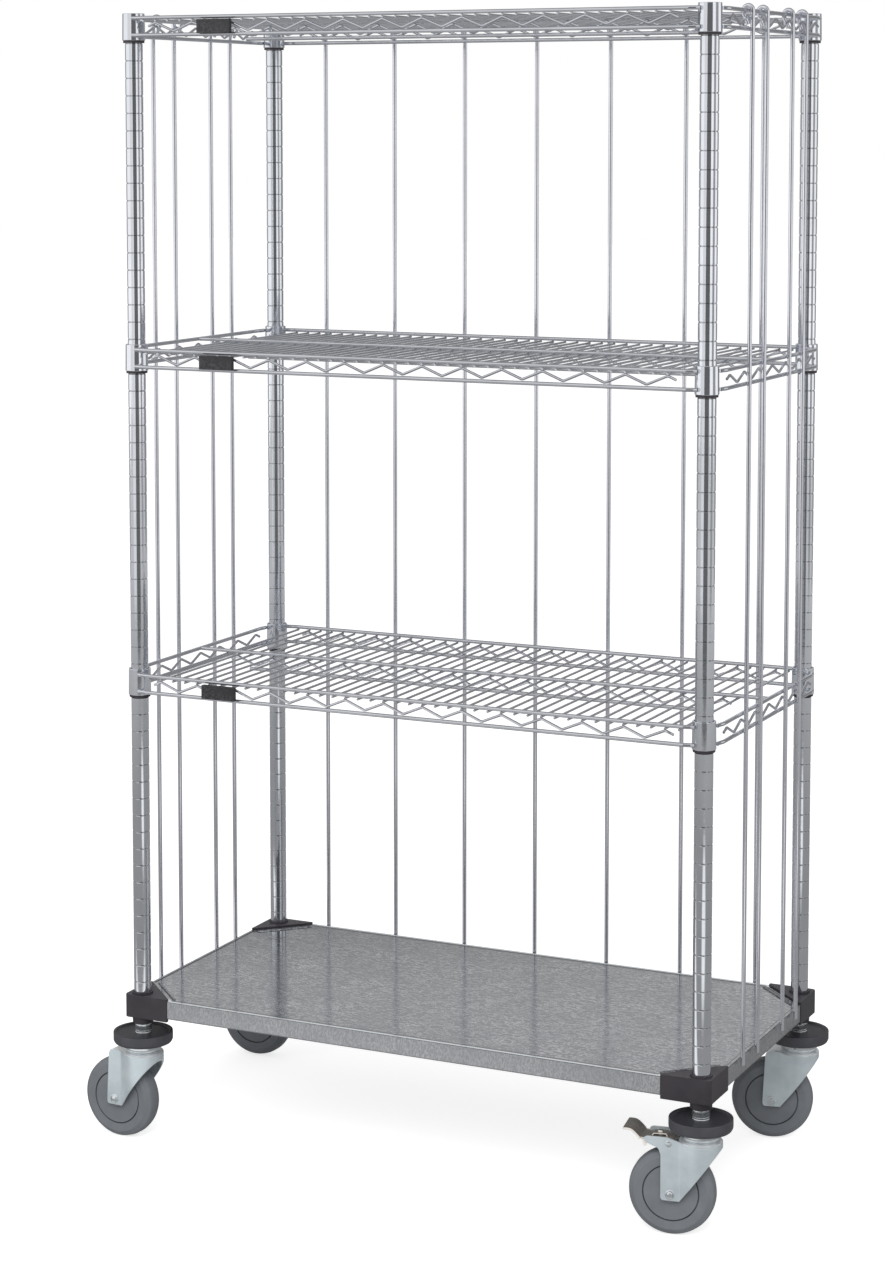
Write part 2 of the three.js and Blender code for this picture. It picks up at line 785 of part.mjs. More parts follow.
const rod = rodSolid();
const rods = new THREE.Group();
rods.position.z = collarLevels[2] + topWireRise;
frame.add(rods);
for (let i = 0; i < backRods; i += 1) {
  const hung = mesh(`rod_back_${i + 1}`, rod, chrome());
  hung.position.set((i - (backRods - 1) / 2) * backRodPitch, rimY, 0);
  rods.add(hung);
}
for (const [side, turn] of [[-1, Math.PI / 2], [1, -Math.PI / 2]]) {
  const places = [...sideRodPlaces.map((place) => -place), ...sideRodPlaces];
  places.sort((a, b) => a - b).forEach((place, i) => {
    const hung = mesh(`rod_${side < 0 ? 'left' : 'right'}_${i + 1}`, rod, chrome());
    hung.position.set(side * rimX, place, 0);
    hung.rotation.z = turn;
    rods.add(hung);
  });
}

const stem = stemSolid();
const bumper = bumperSolid();
const wheel = wheelSolid();
for (const [name, x, y] of corners) {
  const caster = new THREE.Group();
  caster.position.set(x * halfX, y * halfY, 0);
  caster.add(mesh(`stem_${name}`, stem, zincPlate()));
  caster.add(mesh(`bumper_${name}`, bumper, bumperRubber()));
  const turning = new THREE.Group();
  turning.rotation.z = THREE.MathUtils.degToRad(casterTurns[name]);
  const hasBrake = braked.includes(name);
  turning.add(mesh(`fork_${name}`, forkSolid(hasBrake), zincPlate()));
  const rolling = mesh(`wheel_${name}`, wheel, greyTyre());
  rolling.position.set(trail, 0, wheelRadius);
  turning.add(rolling);
  if (hasBrake) turning.add(mesh(`brake_${name}`, brakeSolid(), pedalSteel()));
  caster.add(turning);
  frame.add(caster);
}

export default cart;
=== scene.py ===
import math

import bpy
from mathutils import Matrix, Vector


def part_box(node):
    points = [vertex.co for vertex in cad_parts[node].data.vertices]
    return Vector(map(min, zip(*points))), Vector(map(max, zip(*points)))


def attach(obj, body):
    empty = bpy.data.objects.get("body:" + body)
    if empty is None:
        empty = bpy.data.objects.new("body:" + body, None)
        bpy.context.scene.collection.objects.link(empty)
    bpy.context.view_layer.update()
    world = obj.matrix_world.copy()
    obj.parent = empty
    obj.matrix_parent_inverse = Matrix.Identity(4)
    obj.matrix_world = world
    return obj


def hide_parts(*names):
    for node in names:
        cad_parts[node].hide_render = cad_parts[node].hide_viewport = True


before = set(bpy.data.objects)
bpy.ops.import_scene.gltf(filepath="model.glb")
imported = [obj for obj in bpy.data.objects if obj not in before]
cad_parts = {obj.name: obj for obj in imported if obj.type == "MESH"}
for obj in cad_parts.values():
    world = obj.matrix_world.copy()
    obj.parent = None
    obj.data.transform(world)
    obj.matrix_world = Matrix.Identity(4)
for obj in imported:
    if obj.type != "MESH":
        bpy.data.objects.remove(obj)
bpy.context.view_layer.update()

# Sizes are in millimetres and angles in degrees. X runs right, Y to the back and Z up.
MM = 0.001
FIT = 0.3
MERGE = 0.002
BRAKED = ("FR", "BL")
SIDES = {"FL": (-1, -1), "FR": (1, -1), "BL": (-1, 1), "BR": (1, 1)}
CORNERS = tuple(SIDES)


def ends_of(node):
    low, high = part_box(node)
    return Vector(low) / MM, Vector(high) / MM


def middle_of(node):
    low, high = ends_of(node)
    return (low + high) / 2


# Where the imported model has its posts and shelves. Places are given from the cart's middle.
STEMS = {name: middle_of(f"stem_{name}") for name in CORNERS}
MIDDLE = (STEMS["FL"] + STEMS["BR"]) / 2
HALF_X = (STEMS["BR"].x - STEMS["FL"].x) / 2
HALF_Y = (STEMS["BR"].y - STEMS["FL"].y) / 2
SHELF_LEVELS = [ends_of(f"wire_shelf_{i}")[0].z for i in (1, 2, 3)]
POST_FOOT = ends_of("post_FL")[0].z
POST_TOP = ends_of("post_FL")[1].z


# Camera at the photograph's viewpoint
CAMERA_PLACE = (1.7629, -3.7654, 1.4964)
CAMERA_TILT = 84.868
CAMERA_TURN = 25.301
CAMERA_LENS = 80.66
CAMERA_SHIFT = -0.20


def add_camera():
    bpy.ops.object.camera_add(
        location=CAMERA_PLACE,
        rotation=(math.radians(CAMERA_TILT), 0, math.radians(CAMERA_TURN)),
    )
    camera = bpy.context.object
    camera.name = "camera"
    camera.data.lens = CAMERA_LENS
    camera.data.shift_y = CAMERA_SHIFT
    bpy.context.scene.camera = camera


# Modelling helpers
# Edges sharper than these angles stay sharp, or are bevelled
SMOOTH_ANGLE = 35
TIP_ANGLE = 70
BEVEL_SEGMENTS = 3
NORMAL_WEIGHT = 80
ROUND_STEPS = 48
EASE_STEPS, FINE_EASE_STEPS = 4, 5
# Turns what was spun about Z to lie along Y
LAID = Matrix.Rotation(math.pi / 2, 4, "X")


def pick(piece):
    """Selects one piece alone, in object mode."""
    if bpy.context.object and bpy.context.object.mode != "OBJECT":
        bpy.ops.object.mode_set(mode="OBJECT")
    bpy.ops.object.select_all(action="DESELECT")
    if piece:
        piece.select_set(True)
        bpy.context.view_layer.objects.active = piece


def turn_about_z(angle):
    return Matrix.Rotation(math.radians(angle), 4, "Z")


def shift(x, y, z):
    return Matrix.Translation(Vector((x, y, z)) * MM)


def place(x, y, z, turn=0):
    """A place in the cart, from its middle and the floor, turned about Z."""
    return shift(x + MIDDLE.x, y + MIDDLE.y, z) @ turn_about_z(turn)


def corner_place(name, z, turn=0):
    x, y = SIDES[name]
    return place(x * HALF_X, y * HALF_Y, z, turn)


def settle(piece, matrix):
    """Moves the mesh and leaves its object at the origin."""
    piece.data.transform(matrix @ piece.matrix_basis)
    piece.matrix_basis = Matrix.Identity(4)
    return piece


def copy_piece(piece, name, matrix):
    twin = piece.copy()
    twin.data = piece.data.copy()
    twin.name = name
    bpy.context.scene.collection.objects.link(twin)
    twin.data.transform(matrix)
    return twin


def drop(*pieces):
    for piece in pieces:
        bpy.data.objects.remove(piece)


def turned_copies(piece, *turns):
    """Copies turned about Z, in place of the piece."""
    copies = [copy_piece(piece, piece.name, turn_about_z(turn)) for turn in turns]
    drop(piece)
    return copies


def apply_modifier(piece, kind, **settings):
    pick(piece)
    bpy.ops.object.modifier_add(type=kind)
    modifier = piece.modifiers[-1]
    for key, value in settings.items():
        setattr(modifier, key, value)
    bpy.ops.object.modifier_apply(modifier=modifier.name)
    return piece


def smooth(piece):
    """Smooth shading, with sharp edges kept sharp and flat faces kept flat."""
    pick(piece)
    bpy.ops.object.shade_smooth_by_angle(angle=math.radians(SMOOTH_ANGLE))
    return apply_modifier(piece, "WEIGHTED_NORMAL", keep_sharp=True, weight=NORMAL_WEIGHT)


def soften(piece, width, angle=SMOOTH_ANGLE):
    """A bevel along the edges that are sharper than an angle."""
    apply_modifier(
        piece, "BEVEL", width=width * MM, segments=BEVEL_SEGMENTS, limit_method="ANGLE",
        angle_limit=math.radians(angle))
    return smooth(piece)


def join_pieces(pieces, name):
    pick(None)
    for piece in pieces:
        piece.select_set(True)
    bpy.context.view_layer.objects.active = pieces[0]
    bpy.ops.object.join()
    joined = bpy.context.object
    joined.name = name
    return joined


def extrude(step):
    bpy.ops.mesh.extrude_region_move(TRANSFORM_OT_translate={"value": Vector(step) * MM})


def extrude_path(points):
    """A chain of edges through points, grown from one vertex and left in edit mode."""
    pick(None)
    bpy.ops.mesh.primitive_plane_add(size=MM, location=(0, 0, 0))
    bpy.ops.object.mode_set(mode="EDIT")
    bpy.ops.mesh.select_mode(type="VERT")
    bpy.ops.mesh.select_all(action="SELECT")
    bpy.ops.mesh.merge(type="CENTER")
    bpy.ops.transform.translate(value=Vector(points[0]) * MM)
    for before, after in zip(points, points[1:]):
        extrude(Vector(after) - Vector(before))
    return bpy.context.object


def extrude_all(step):
    bpy.ops.mesh.select_all(action="SELECT")
    extrude(step)


def merge_points():
    bpy.ops.mesh.select_all(action="SELECT")
    bpy.ops.mesh.remove_doubles(threshold=MERGE * MM)


def close_seams():
    merge_points()
    bpy.ops.mesh.normals_make_consistent(inside=False)
    bpy.ops.object.mode_set(mode="OBJECT")


def rounded(before, corner, after, radius, steps):
    """Points round a corner, from the side of the one before it to that of the next."""
    back = (before - corner).normalized()
    ahead = (after - corner).normalized()
    reach = radius / math.tan(back.angle(ahead) / 2)
    points = []
    for k in range(steps + 1):
        share = k / steps
        start = corner + back * reach * (1 - share)
        points.append(start.lerp(corner + ahead * reach * share, share))
    return points


def eased(corners, steps):
    """Points from (x, y, radius) corners, each corner rounded by its radius."""
    spots = [Vector(corner[:2]) for corner in corners]
    points = []
    for i, spot in enumerate(spots):
        radius = corners[i][2]
        after = spots[(i + 1) % len(spots)]
        points += rounded(spots[i - 1], spot, after, radius, steps) if radius else [spot]
    return points


def turned(name, corners, steps=ROUND_STEPS, ring=False, easing=EASE_STEPS):
    """A solid spun about Z from (radius, height, rounding) corners."""
    profile = eased(corners, easing)
    if ring:
        profile.append(profile[0])
    piece = extrude_path([(point.x, 0, point.y) for point in profile])
    piece.name = name
    bpy.ops.mesh.select_all(action="SELECT")
    bpy.ops.mesh.spin(steps=steps, angle=2 * math.pi, center=(0, 0, 0), axis=(0, 0, 1))
    close_seams()
    return smooth(piece)


def slab(name, outline, step):
    """A flat outline, filled and extruded by a step."""
    piece = extrude_path([*outline, outline[0]])
    piece.name = name
    merge_points()
    bpy.ops.mesh.edge_face_add()
    extrude(step)
    close_seams()
    return piece


def side_slab(name, corners, width):
    """A slab across a caster, from (run, z, rounding) corners of its side outline."""
    outline = [(point.x, -width / 2, point.y) for point in eased(corners, FINE_EASE_STEPS)]
    return slab(name, outline, (0, width, 0))


def thicken(piece, thickness, outward):
    """A sheet's thickness, added behind its outer face."""
    return apply_modifier(
        piece, "SOLIDIFY", thickness=thickness * MM, offset=-1 if outward else 1)


def bent_strip(name, line, width, thickness):
    """A strip bent along (run, z) points and centred across a caster."""
    piece = extrude_path([(run, -width / 2, z) for run, z in line])
    piece.name = name
    extrude_all((0, width, 0))
    merge_points()
    bpy.ops.object.mode_set(mode="OBJECT")
    rising = sum(face.normal.z for face in piece.data.polygons) > 0
    return thicken(piece, thickness, rising)


def eased_path(points, radius):
    """A path in space with each corner rounded by a radius."""
    points = [Vector(point) for point in points]
    path = [points[0]]
    for spots in zip(points, points[1:], points[2:]):
        path += rounded(*spots, radius, EASE_STEPS)
    return [*path, points[-1]]


def wire(name, points, radius, sides, tip):
    """A round wire along points, with closed ends that are rounded by a tip radius."""
    pick(None)
    bpy.ops.curve.primitive_bezier_curve_add()
    piece = bpy.context.object
    piece.name = name
    line = piece.data
    line.splines.clear()
    spline = line.splines.new("POLY")
    spline.points.add(len(points) - 1)
    for spot, point in zip(spline.points, points):
        spot.co = (*(Vector(point) * MM), 1)
    line.bevel_depth = radius * MM
    line.bevel_resolution = (sides - 4) // 2
    line.use_fill_caps = True
    bpy.ops.object.convert(target="MESH")
    bpy.ops.object.mode_set(mode="EDIT")
    close_seams()
    return soften(bpy.context.object, tip, TIP_ANGLE)


def cut(piece, cutter, operation="DIFFERENCE"):
    apply_modifier(piece, "BOOLEAN", object=cutter, operation=operation, solver="EXACT")
    drop(cutter)
    return piece


def finish_piece(piece, body, slot, material, *nodes):
    piece.data.materials.clear()
    piece.data.materials.append(material)
    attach(piece, body)
    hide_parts(*nodes)


def add_copy(model, name, spot, *finish):
    """A finished piece, copied from a model and put in its place."""
    finish_piece(copy_piece(model, name, spot), *finish)


# Material helpers
# Which sockets a Mix node has for colours
COLOUR_LOW, COLOUR_HIGH, COLOUR_RESULT = 6, 7, 2
# Where most of a noise's values lie
NOISE_SPREAD = (0.3, 0.7)
# Where the mask of worn edges, which also carries a painted highlight, fades in, over the edges'
# sharpness and over a noise
EDGE_SHARPNESS = (0.56, 0.66)
EDGE_PATCHES = (0.4, 0.65)
GRAIN_STRENGTH = 0.25
GRAIN_DEPTH = 0.08


def set_inputs(node, values):
    for key, value in values.items():
        node.inputs[key].default_value = value


def link_or_set(tree, socket, value):
    if isinstance(value, (int, float)):
        socket.default_value = value
    else:
        tree.links.new(value, socket)


def math_node(tree, operation, first, second, clamp=False):
    node = tree.nodes.new("ShaderNodeMath")
    node.operation = operation
    node.use_clamp = clamp
    link_or_set(tree, node.inputs[0], first)
    link_or_set(tree, node.inputs[1], second)
    return node.outputs[0]


def map_range(tree, value, low, high, to_low=0.0, to_high=1.0):
    node = tree.nodes.new("ShaderNodeMapRange")
    tree.links.new(value, node.inputs["Value"])
    for key, number in (("From Min", low), ("From Max", high),
                        ("To Min", to_low), ("To Max", to_high)):
        link_or_set(tree, node.inputs[key], number)
    return node.outputs["Result"]


def object_place(tree, stretch=None):
    place_on = tree.nodes.new("ShaderNodeTexCoord").outputs["Object"]
    if not stretch:
        return place_on
    mapping = tree.nodes.new("ShaderNodeMapping")
    mapping.inputs["Scale"].default_value = stretch
    tree.links.new(place_on, mapping.inputs["Vector"])
    return mapping.outputs["Vector"]


def place_parts(tree):
    """The X, Y and Z of a place on the object."""
    split = tree.nodes.new("ShaderNodeSeparateXYZ")
    tree.links.new(object_place(tree), split.inputs["Vector"])
    return split.outputs


def noise_node(tree, scale, detail, roughness=0.55, stretch=None):
    noise = tree.nodes.new("ShaderNodeTexNoise")
    tree.links.new(object_place(tree, stretch), noise.inputs["Vector"])
    set_inputs(noise, {"Detail": detail, "Roughness": roughness})
    link_or_set(tree, noise.inputs["Scale"], scale)
    return noise.outputs["Fac"]


def new_group(name, inputs, outputs):
    """A shader node group with named number inputs and outputs."""
    group = bpy.data.node_groups.new(name, "ShaderNodeTree")
    for key, value in inputs.items():
        socket = group.interface.new_socket(key, in_out="INPUT", socket_type="NodeSocketFloat")
        socket.default_value = value
    for key in outputs:
        group.interface.new_socket(key, in_out="OUTPUT", socket_type="NodeSocketFloat")
    return group, group.nodes.new("NodeGroupInput"), group.nodes.new("NodeGroupOutput")


def edge_wear_and_highlight_group():
    """A mask of worn edges, broken up into patches, that also carries the bumper's painted rim
    highlight.
    """
    group, given, out = new_group("edge_wear_and_highlight", {"Amount": 0.5, "Scale": 180.0}, ["Mask"])
    pointiness = group.nodes.new("ShaderNodeNewGeometry").outputs["Pointiness"]
    edges = map_range(group, pointiness, *EDGE_SHARPNESS)
    patches = map_range(group, noise_node(group, given.outputs["Scale"], 4.0), *EDGE_PATCHES)
    broken = math_node(group, "MULTIPLY", edges, patches)
    mask = math_node(group, "MULTIPLY", broken, given.outputs["Amount"], clamp=True)
    group.links.new(mask, out.inputs["Mask"])
    return group


def variation_group():
    """Broad and fine variation over a surface, each from 0 to 1."""
    group, given, out = new_group(
        "surface_variation", {"Broad Scale": 12.0, "Fine Scale": 400.0}, ["Broad", "Fine"])
    for key, detail in (("Broad", 3.0), ("Fine", 2.0)):
        noise = noise_node(group, given.outputs[f"{key} Scale"], detail)
        group.links.new(map_range(group, noise, *NOISE_SPREAD), out.inputs[key])
    return group


def facing_group():
    """Masks of the faces that look along the object's Y and Z, either way."""
    group, given, out = new_group("facing_faces", {"Low": 0.3, "High": 0.8}, ["Y", "Z"])
    split = group.nodes.new("ShaderNodeSeparateXYZ")
    normal = group.nodes.new("ShaderNodeTexCoord").outputs["Normal"]
    group.links.new(normal, split.inputs["Vector"])
    for axis in ("Y", "Z"):
        along = math_node(group, "ABSOLUTE", split.outputs[axis], 0.0)
        mask = map_range(group, along, given.outputs["Low"], given.outputs["High"])
        group.links.new(mask, out.inputs[axis])
    return group


EDGE_WEAR_AND_HIGHLIGHT = edge_wear_and_highlight_group()
VARIATION = variation_group()
FACING = facing_group()


def new_material(name, values):
    """A material and its Principled shader, with these values."""
    material = bpy.data.materials.new(name)
    material.use_nodes = True
    shader = material.node_tree.nodes["Principled BSDF"]
    set_inputs(shader, values)
    return material, shader


class Finish:
    """One material: a Principled shader and the nodes that vary it."""

    def __init__(self, name, metallic):
        self.material, self.shader = new_material(name, {"Metallic": metallic})
        self.tree = self.material.node_tree

    def shared(self, group, values):
        """The outputs of a shared node group, used with these values."""
        node = self.tree.nodes.new("ShaderNodeGroup")
        node.node_tree = group
        set_inputs(node, values)
        return node.outputs

    def vary(self, broad, fine):
        outputs = self.shared(VARIATION, {"Broad Scale": broad, "Fine Scale": fine})
        return outputs["Broad"], outputs["Fine"]

    def wear_and_highlight_edges(self, amount, scale):
        return self.shared(EDGE_WEAR_AND_HIGHLIGHT, {"Amount": amount, "Scale": scale})["Mask"]

    def facing(self, axis, low, high):
        return self.shared(FACING, {"Low": low, "High": high})[axis]

    def colour(self, mask, low, high):
        """Mixes low (a colour, or the result of another mix) with high by the mask."""
        mix = self.tree.nodes.new("ShaderNodeMix")
        mix.data_type = "RGBA"
        self.tree.links.new(mask, mix.inputs["Factor"])
        if isinstance(low, tuple):
            mix.inputs[COLOUR_LOW].default_value = (*low, 1)
        else:
            self.tree.links.new(low, mix.inputs[COLOUR_LOW])
        mix.inputs[COLOUR_HIGH].default_value = (*high, 1)
        self.tree.links.new(mix.outputs[COLOUR_RESULT], self.shader.inputs["Base Color"])
        return mix.outputs[COLOUR_RESULT]

    def ramp(self, key, value, low, high):
        """One of the shader's inputs, from low to high as the value goes from 0 to 1."""
        result = map_range(self.tree, value, 0.0, 1.0, low, high)
        self.tree.links.new(result, self.shader.inputs[key])

    def bump(self, height, strength, depth):
        bump = self.tree.nodes.new("ShaderNodeBump")
        set_inputs(bump, {"Strength": strength, "Distance": depth * MM})
        self.tree.links.new(height, bump.inputs["Height"])
        self.tree.links.new(bump.outputs["Normal"], self.shader.inputs["Normal"])


# Colours are linear shares of red, green and blue.
# A painted shade for the posts' grooves
GROOVE_SHADE_GREY = (0.5, 0.505, 0.51)
GROOVE_SHARES = (0.4, 0.15)
SPANGLE_DARK, SPANGLE_PALE = (0.18, 0.186, 0.203), (0.25, 0.256, 0.272)
SPANGLE_SPREAD = (0.35, 0.65)
CRYSTAL_GREY = (0.6, 0.606, 0.622)
CLOUD_LOW = 0.4
# The upright rim: partly mixed towards a paler grey, as painted light
RIM_LIGHT_GREY, RIM_LIGHT_SHARE = (0.7, 0.71, 0.73), 0.34
# A painted highlight along the front and back hems
HEM_HIGHLIGHT_GREY = (0.72, 0.75, 0.78)
# Painted shade: lines beside the hems and along the rim's foot
SHADE_LINE_GREY = (0.12, 0.126, 0.13)
# A painted highlight on zinc faces that look up or down, less metallic so the lamps light it;
# then the colour of worn edges
ZINC_HIGHLIGHT, ZINC_WORN = (0.96, 0.98, 1.0), (0.93, 0.95, 0.97)
ZINC_HIGHLIGHT_METAL = 0.4
BRONZE_DARK, BRONZE_PALE = (0.32, 0.295, 0.27), (0.46, 0.425, 0.39)
# A painted highlight on the bronze's sides that face Y: the pale colour here and the lower
# metallic on the next line
BRONZE_SIDE_HIGHLIGHT = (0.9, 0.85, 0.79)
BRONZE_METAL, SIDE_HIGHLIGHT_METAL = 0.7, 0.2
# Depths under the deck's top or floor at which its masks fade in
RIM_FADE = (0.5, 0.8)
HEM_FADE = (0.6, 0.5)
FLAT_FADE = (0.4, 0.2)
LINE_FADE = 0.5
# The painted shade along the rim's foot: where it fades in, and its strength
FOLD_FADE, FOLD_STRENGTH = 0.7, 0.6


def groove_shade_mask(tree):
    """1 in the posts' grooves, where shade is painted, from how high a place is."""
    rise = math_node(tree, "SUBTRACT", place_parts(tree)["Z"], FIRST_GROOVE * MM)
    away = math_node(tree, "PINGPONG", rise, GROOVE_PITCH / 2 * MM)
    edge, bottom = (share * GROOVE_WIDTH * MM for share in GROOVE_SHARES)
    return map_range(tree, away, edge, bottom)


def chrome_finish(name, dull, bright, rough, shade_grooves=False):
    """Bright plating, with faint clouds, a slightly uneven surface and, where asked, painted
    shade in the grooves.
    """
    finish = Finish(name, 1.0)
    broad, fine = finish.vary(broad=9.0, fine=260.0)
    base = finish.colour(broad, dull, bright)
    if shade_grooves:
        # Painted shade in the grooves
        finish.colour(groove_shade_mask(finish.tree), base, GROOVE_SHADE_GREY)
    finish.ramp("Roughness", fine, *rough)
    finish.bump(broad, strength=0.06, depth=0.2)
    return finish.material


def moulded_finish(name, low, high, edge_wear_and_highlight, rough, grain, top=None):
    """Moulded plastic or rubber, with a fine grain, paler edges (wear, and on the bumper a
    painted highlight) and, where given, a painted shade on top.
    """
    finish = Finish(name, 0.0)
    broad, fine = finish.vary(broad=30.0, fine=grain)
    base = finish.colour(broad, low, high)
    if top:
        # Painted shade on the top
        base = finish.colour(finish.facing("Z", low=0.85, high=0.97), base, top)
    # Paler edges: wear, and on the bumper a painted highlight
    finish.colour(finish.wear_and_highlight_edges(amount=0.5, scale=260.0), base, edge_wear_and_highlight)
    finish.ramp("Roughness", fine, *rough)
    finish.bump(fine, GRAIN_STRENGTH, GRAIN_DEPTH)
    return finish.material


def crystal_lines(tree, scale, stretch, width):
    """Pale crooked lines, along the middle value of a stretched noise."""
    noise = noise_node(tree, scale, detail=3.0, roughness=0.6, stretch=stretch)
    away = math_node(tree, "ABSOLUTE", math_node(tree, "SUBTRACT", noise, 0.5), 0.0)
    return map_range(tree, away, width, 0.0)


def deck_masks(tree):
    """Where the deck's rim, its front and back hems, the lines beside the hems and the rim's
    foot are: the hems take a painted highlight, the lines and the foot painted shade.
    """
    spot = place_parts(tree)
    level = spot["Z"]
    floor = DECK_TOP - HEM_RISE
    rim, raised, flat = (
        map_range(tree, level, (top - first) * MM, (top - last) * MM)
        for top, (first, last) in (
            (floor, RIM_FADE), (DECK_TOP, HEM_FADE), (floor, FLAT_FADE)))
    near_edge = []
    spans = (
        (0, MIDDLE.x, OUT_X, HEM_SIDE_LINE), (1, MIDDLE.y, OUT_Y, HEM_LINE))
    for axis, middle, half, line in spans:
        offset = math_node(tree, "SUBTRACT", spot[axis], middle * MM)
        away = math_node(tree, "ABSOLUTE", offset, 0.0)
        edge = (half - DECK_RECESS - HEM_WIDTH - line) * MM
        near_edge.append(map_range(tree, away, edge - LINE_FADE * MM, edge))
    # The hems' painted highlight
    hem_highlight = math_node(tree, "MULTIPLY", raised, near_edge[1])
    outer = math_node(tree, "MAXIMUM", *near_edge)
    # Painted shade beside the hems
    line = math_node(tree, "MULTIPLY", math_node(tree, "SUBTRACT", flat, raised), outer)
    # Painted shade along the rim's foot
    foot = (DECK_TOP - DECK_RIM) * MM
    fold = map_range(tree, level, foot + FOLD_LINE * MM, foot + FOLD_LINE * FOLD_FADE * MM)
    fold = math_node(tree, "MULTIPLY", fold, FOLD_STRENGTH)
    return rim, hem_highlight, math_node(tree, "MAXIMUM", line, fold)


def galvanised_finish():
    """Galvanised sheet: pale crooked crystals over clouds, with a painted highlight along the
    front and back hems, painted shade beside the hems and along the rim's foot, and the upright
    rim painted paler as light.
    """
    finish = Finish("galvanised_sheet", 0.9)
    tree = finish.tree
    rim, hem_highlight, shade_lines = deck_masks(tree)
    flat_lines = crystal_lines(tree, scale=130.0, stretch=(0.55, 1.6, 1.0), width=0.05)
    upright_lines = crystal_lines(tree, scale=150.0, stretch=(2.2, 2.2, 0.8), width=0.06)
    lines = map_range(tree, rim, 0.0, 1.0, flat_lines, upright_lines)
    fine = noise_node(tree, 300.0, detail=4.0, roughness=0.65, stretch=(0.7, 1.0, 1.0))
    broad = noise_node(tree, 14.0, detail=4.0, roughness=0.6)
    clouds = map_range(tree, broad, *NOISE_SPREAD, CLOUD_LOW, 1.0)
    mask = math_node(tree, "MULTIPLY", lines, clouds)
    base = finish.colour(map_range(tree, fine, *SPANGLE_SPREAD), SPANGLE_DARK, SPANGLE_PALE)
    base = finish.colour(mask, base, CRYSTAL_GREY)
    # The upright rim painted paler, as light
    base = finish.colour(math_node(tree, "MULTIPLY", rim, RIM_LIGHT_SHARE), base, RIM_LIGHT_GREY)
    # Painted highlight on the hems
    base = finish.colour(hem_highlight, base, HEM_HIGHLIGHT_GREY)
    # Painted shade beside the hems and along the rim's foot
    finish.colour(shade_lines, base, SHADE_LINE_GREY)
    finish.ramp("Roughness", rim, low=0.13, high=0.3)
    finish.bump(fine, strength=0.05, depth=0.05)
    return finish.material


def zinc_finish(name, low, high, metallic, rough):
    """Bright zinc plate with a cool tint and duller patches, with a painted highlight on the
    faces that look up or down.
    """
    finish = Finish(name, metallic)
    broad, fine = finish.vary(broad=34.0, fine=520.0)
    # A painted highlight on the faces that look up or down, in colour and in a lower metallic
    z_face_highlight = finish.facing("Z", low=0.3, high=0.8)
    base = finish.colour(broad, low, high)
    base = finish.colour(z_face_highlight, base, ZINC_HIGHLIGHT)
    finish.colour(finish.wear_and_highlight_edges(amount=1.0, scale=200.0), base, ZINC_WORN)
    finish.ramp("Metallic", z_face_highlight, metallic, ZINC_HIGHLIGHT_METAL)
    finish.ramp("Roughness", broad, *rough)
    finish.bump(fine, strength=0.12, depth=0.05)
    return finish.material


def bronzed_finish():
    """Dark bronze plating, with a painted highlight on its sides that face Y."""
    finish = Finish("bronzed_steel", BRONZE_METAL)
    broad, fine = finish.vary(broad=40.0, fine=500.0)
    # A painted highlight on the sides that face Y
    side_highlight = finish.facing("Y", low=0.3, high=0.7)
    base = finish.colour(broad, BRONZE_DARK, BRONZE_PALE)
    finish.colour(side_highlight, base, BRONZE_SIDE_HIGHLIGHT)
    finish.ramp("Metallic", side_highlight, BRONZE_METAL, SIDE_HIGHLIGHT_METAL)
    finish.ramp("Roughness", fine, low=0.24, high=0.36)
    finish.bump(fine, strength=0.05, depth=0.03)
    return finish.material


# Posts: chromed tube with a groove every 25 mm
POST_RADIUS = 12.7
GROOVE_PITCH = 25
FIRST_GROOVE = 240
GROOVE_WIDTH = 2.2
GROOVE_DEPTH = 0.85
CAP_ROUND = 1.8
POST_STEPS = 36


def post_corners():
    corners = [(0, POST_FOOT, 0), (POST_RADIUS, POST_FOOT, 0)]
    floor = POST_RADIUS - GROOVE_DEPTH
    level = FIRST_GROOVE
    while level < POST_TOP - GROOVE_PITCH / 2:
        corners += [
            (POST_RADIUS, level - GROOVE_WIDTH / 2, 0), (floor, level - GROOVE_WIDTH / 8, 0),
            (floor, level + GROOVE_WIDTH / 8, 0), (POST_RADIUS, level + GROOVE_WIDTH / 2, 0)]
        level += GROOVE_PITCH
    return [*corners, (POST_RADIUS, POST_TOP, CAP_ROUND), (0, POST_TOP, 0)]


def add_posts(chrome):
    post = turned("post", post_corners(), POST_STEPS)
    for name in CORNERS:
        spot = corner_place(name, 0)
        add_copy(post, f"grooved_post_{name}", spot, "cart", "chrome", chrome, f"post_{name}")
    drop(post)


# Wire shelves
RIM_WIRE = 2.8
RIM_X = HALF_X + 19
RIM_Y = HALF_Y + 18.8
RIM_END = 7
RIM_BEND = 16
RIM_RISES = (7, 31.5)
ZIGZAG_WIRE = 1.9
FOLD_LOW, FOLD_HIGH = 11.8, 24.2
FOLD_PITCH, FOLDS = 60, 14
SIDE_FOLD_PITCH, SIDE_FOLDS = 58, 7
FOLD_ROUND = 6
STUB = 12
DECK_WIRE = 1.7
DECK_WIRES, DECK_PITCH = 42, 20
DECK_RISE = 27
MIDDLE_END = 370
MIDDLE_TIP = 1
RIM_SIDES, ZIGZAG_SIDES, DECK_SIDES = 14, 10, 12
RIM_TIP, ZIGZAG_TIP, DECK_TIP = 1.26, 0.76, 1.19
RIM_REACH, DECK_REACH = 1.54, 2.24
COLLAR_HEIGHT = 38.5
COLLAR_FOOT, COLLAR_HEAD, COLLAR_BORE = 16.5, 16, 14.5
COLLAR_ROUND, COLLAR_TAPER = 0.8, 0.6


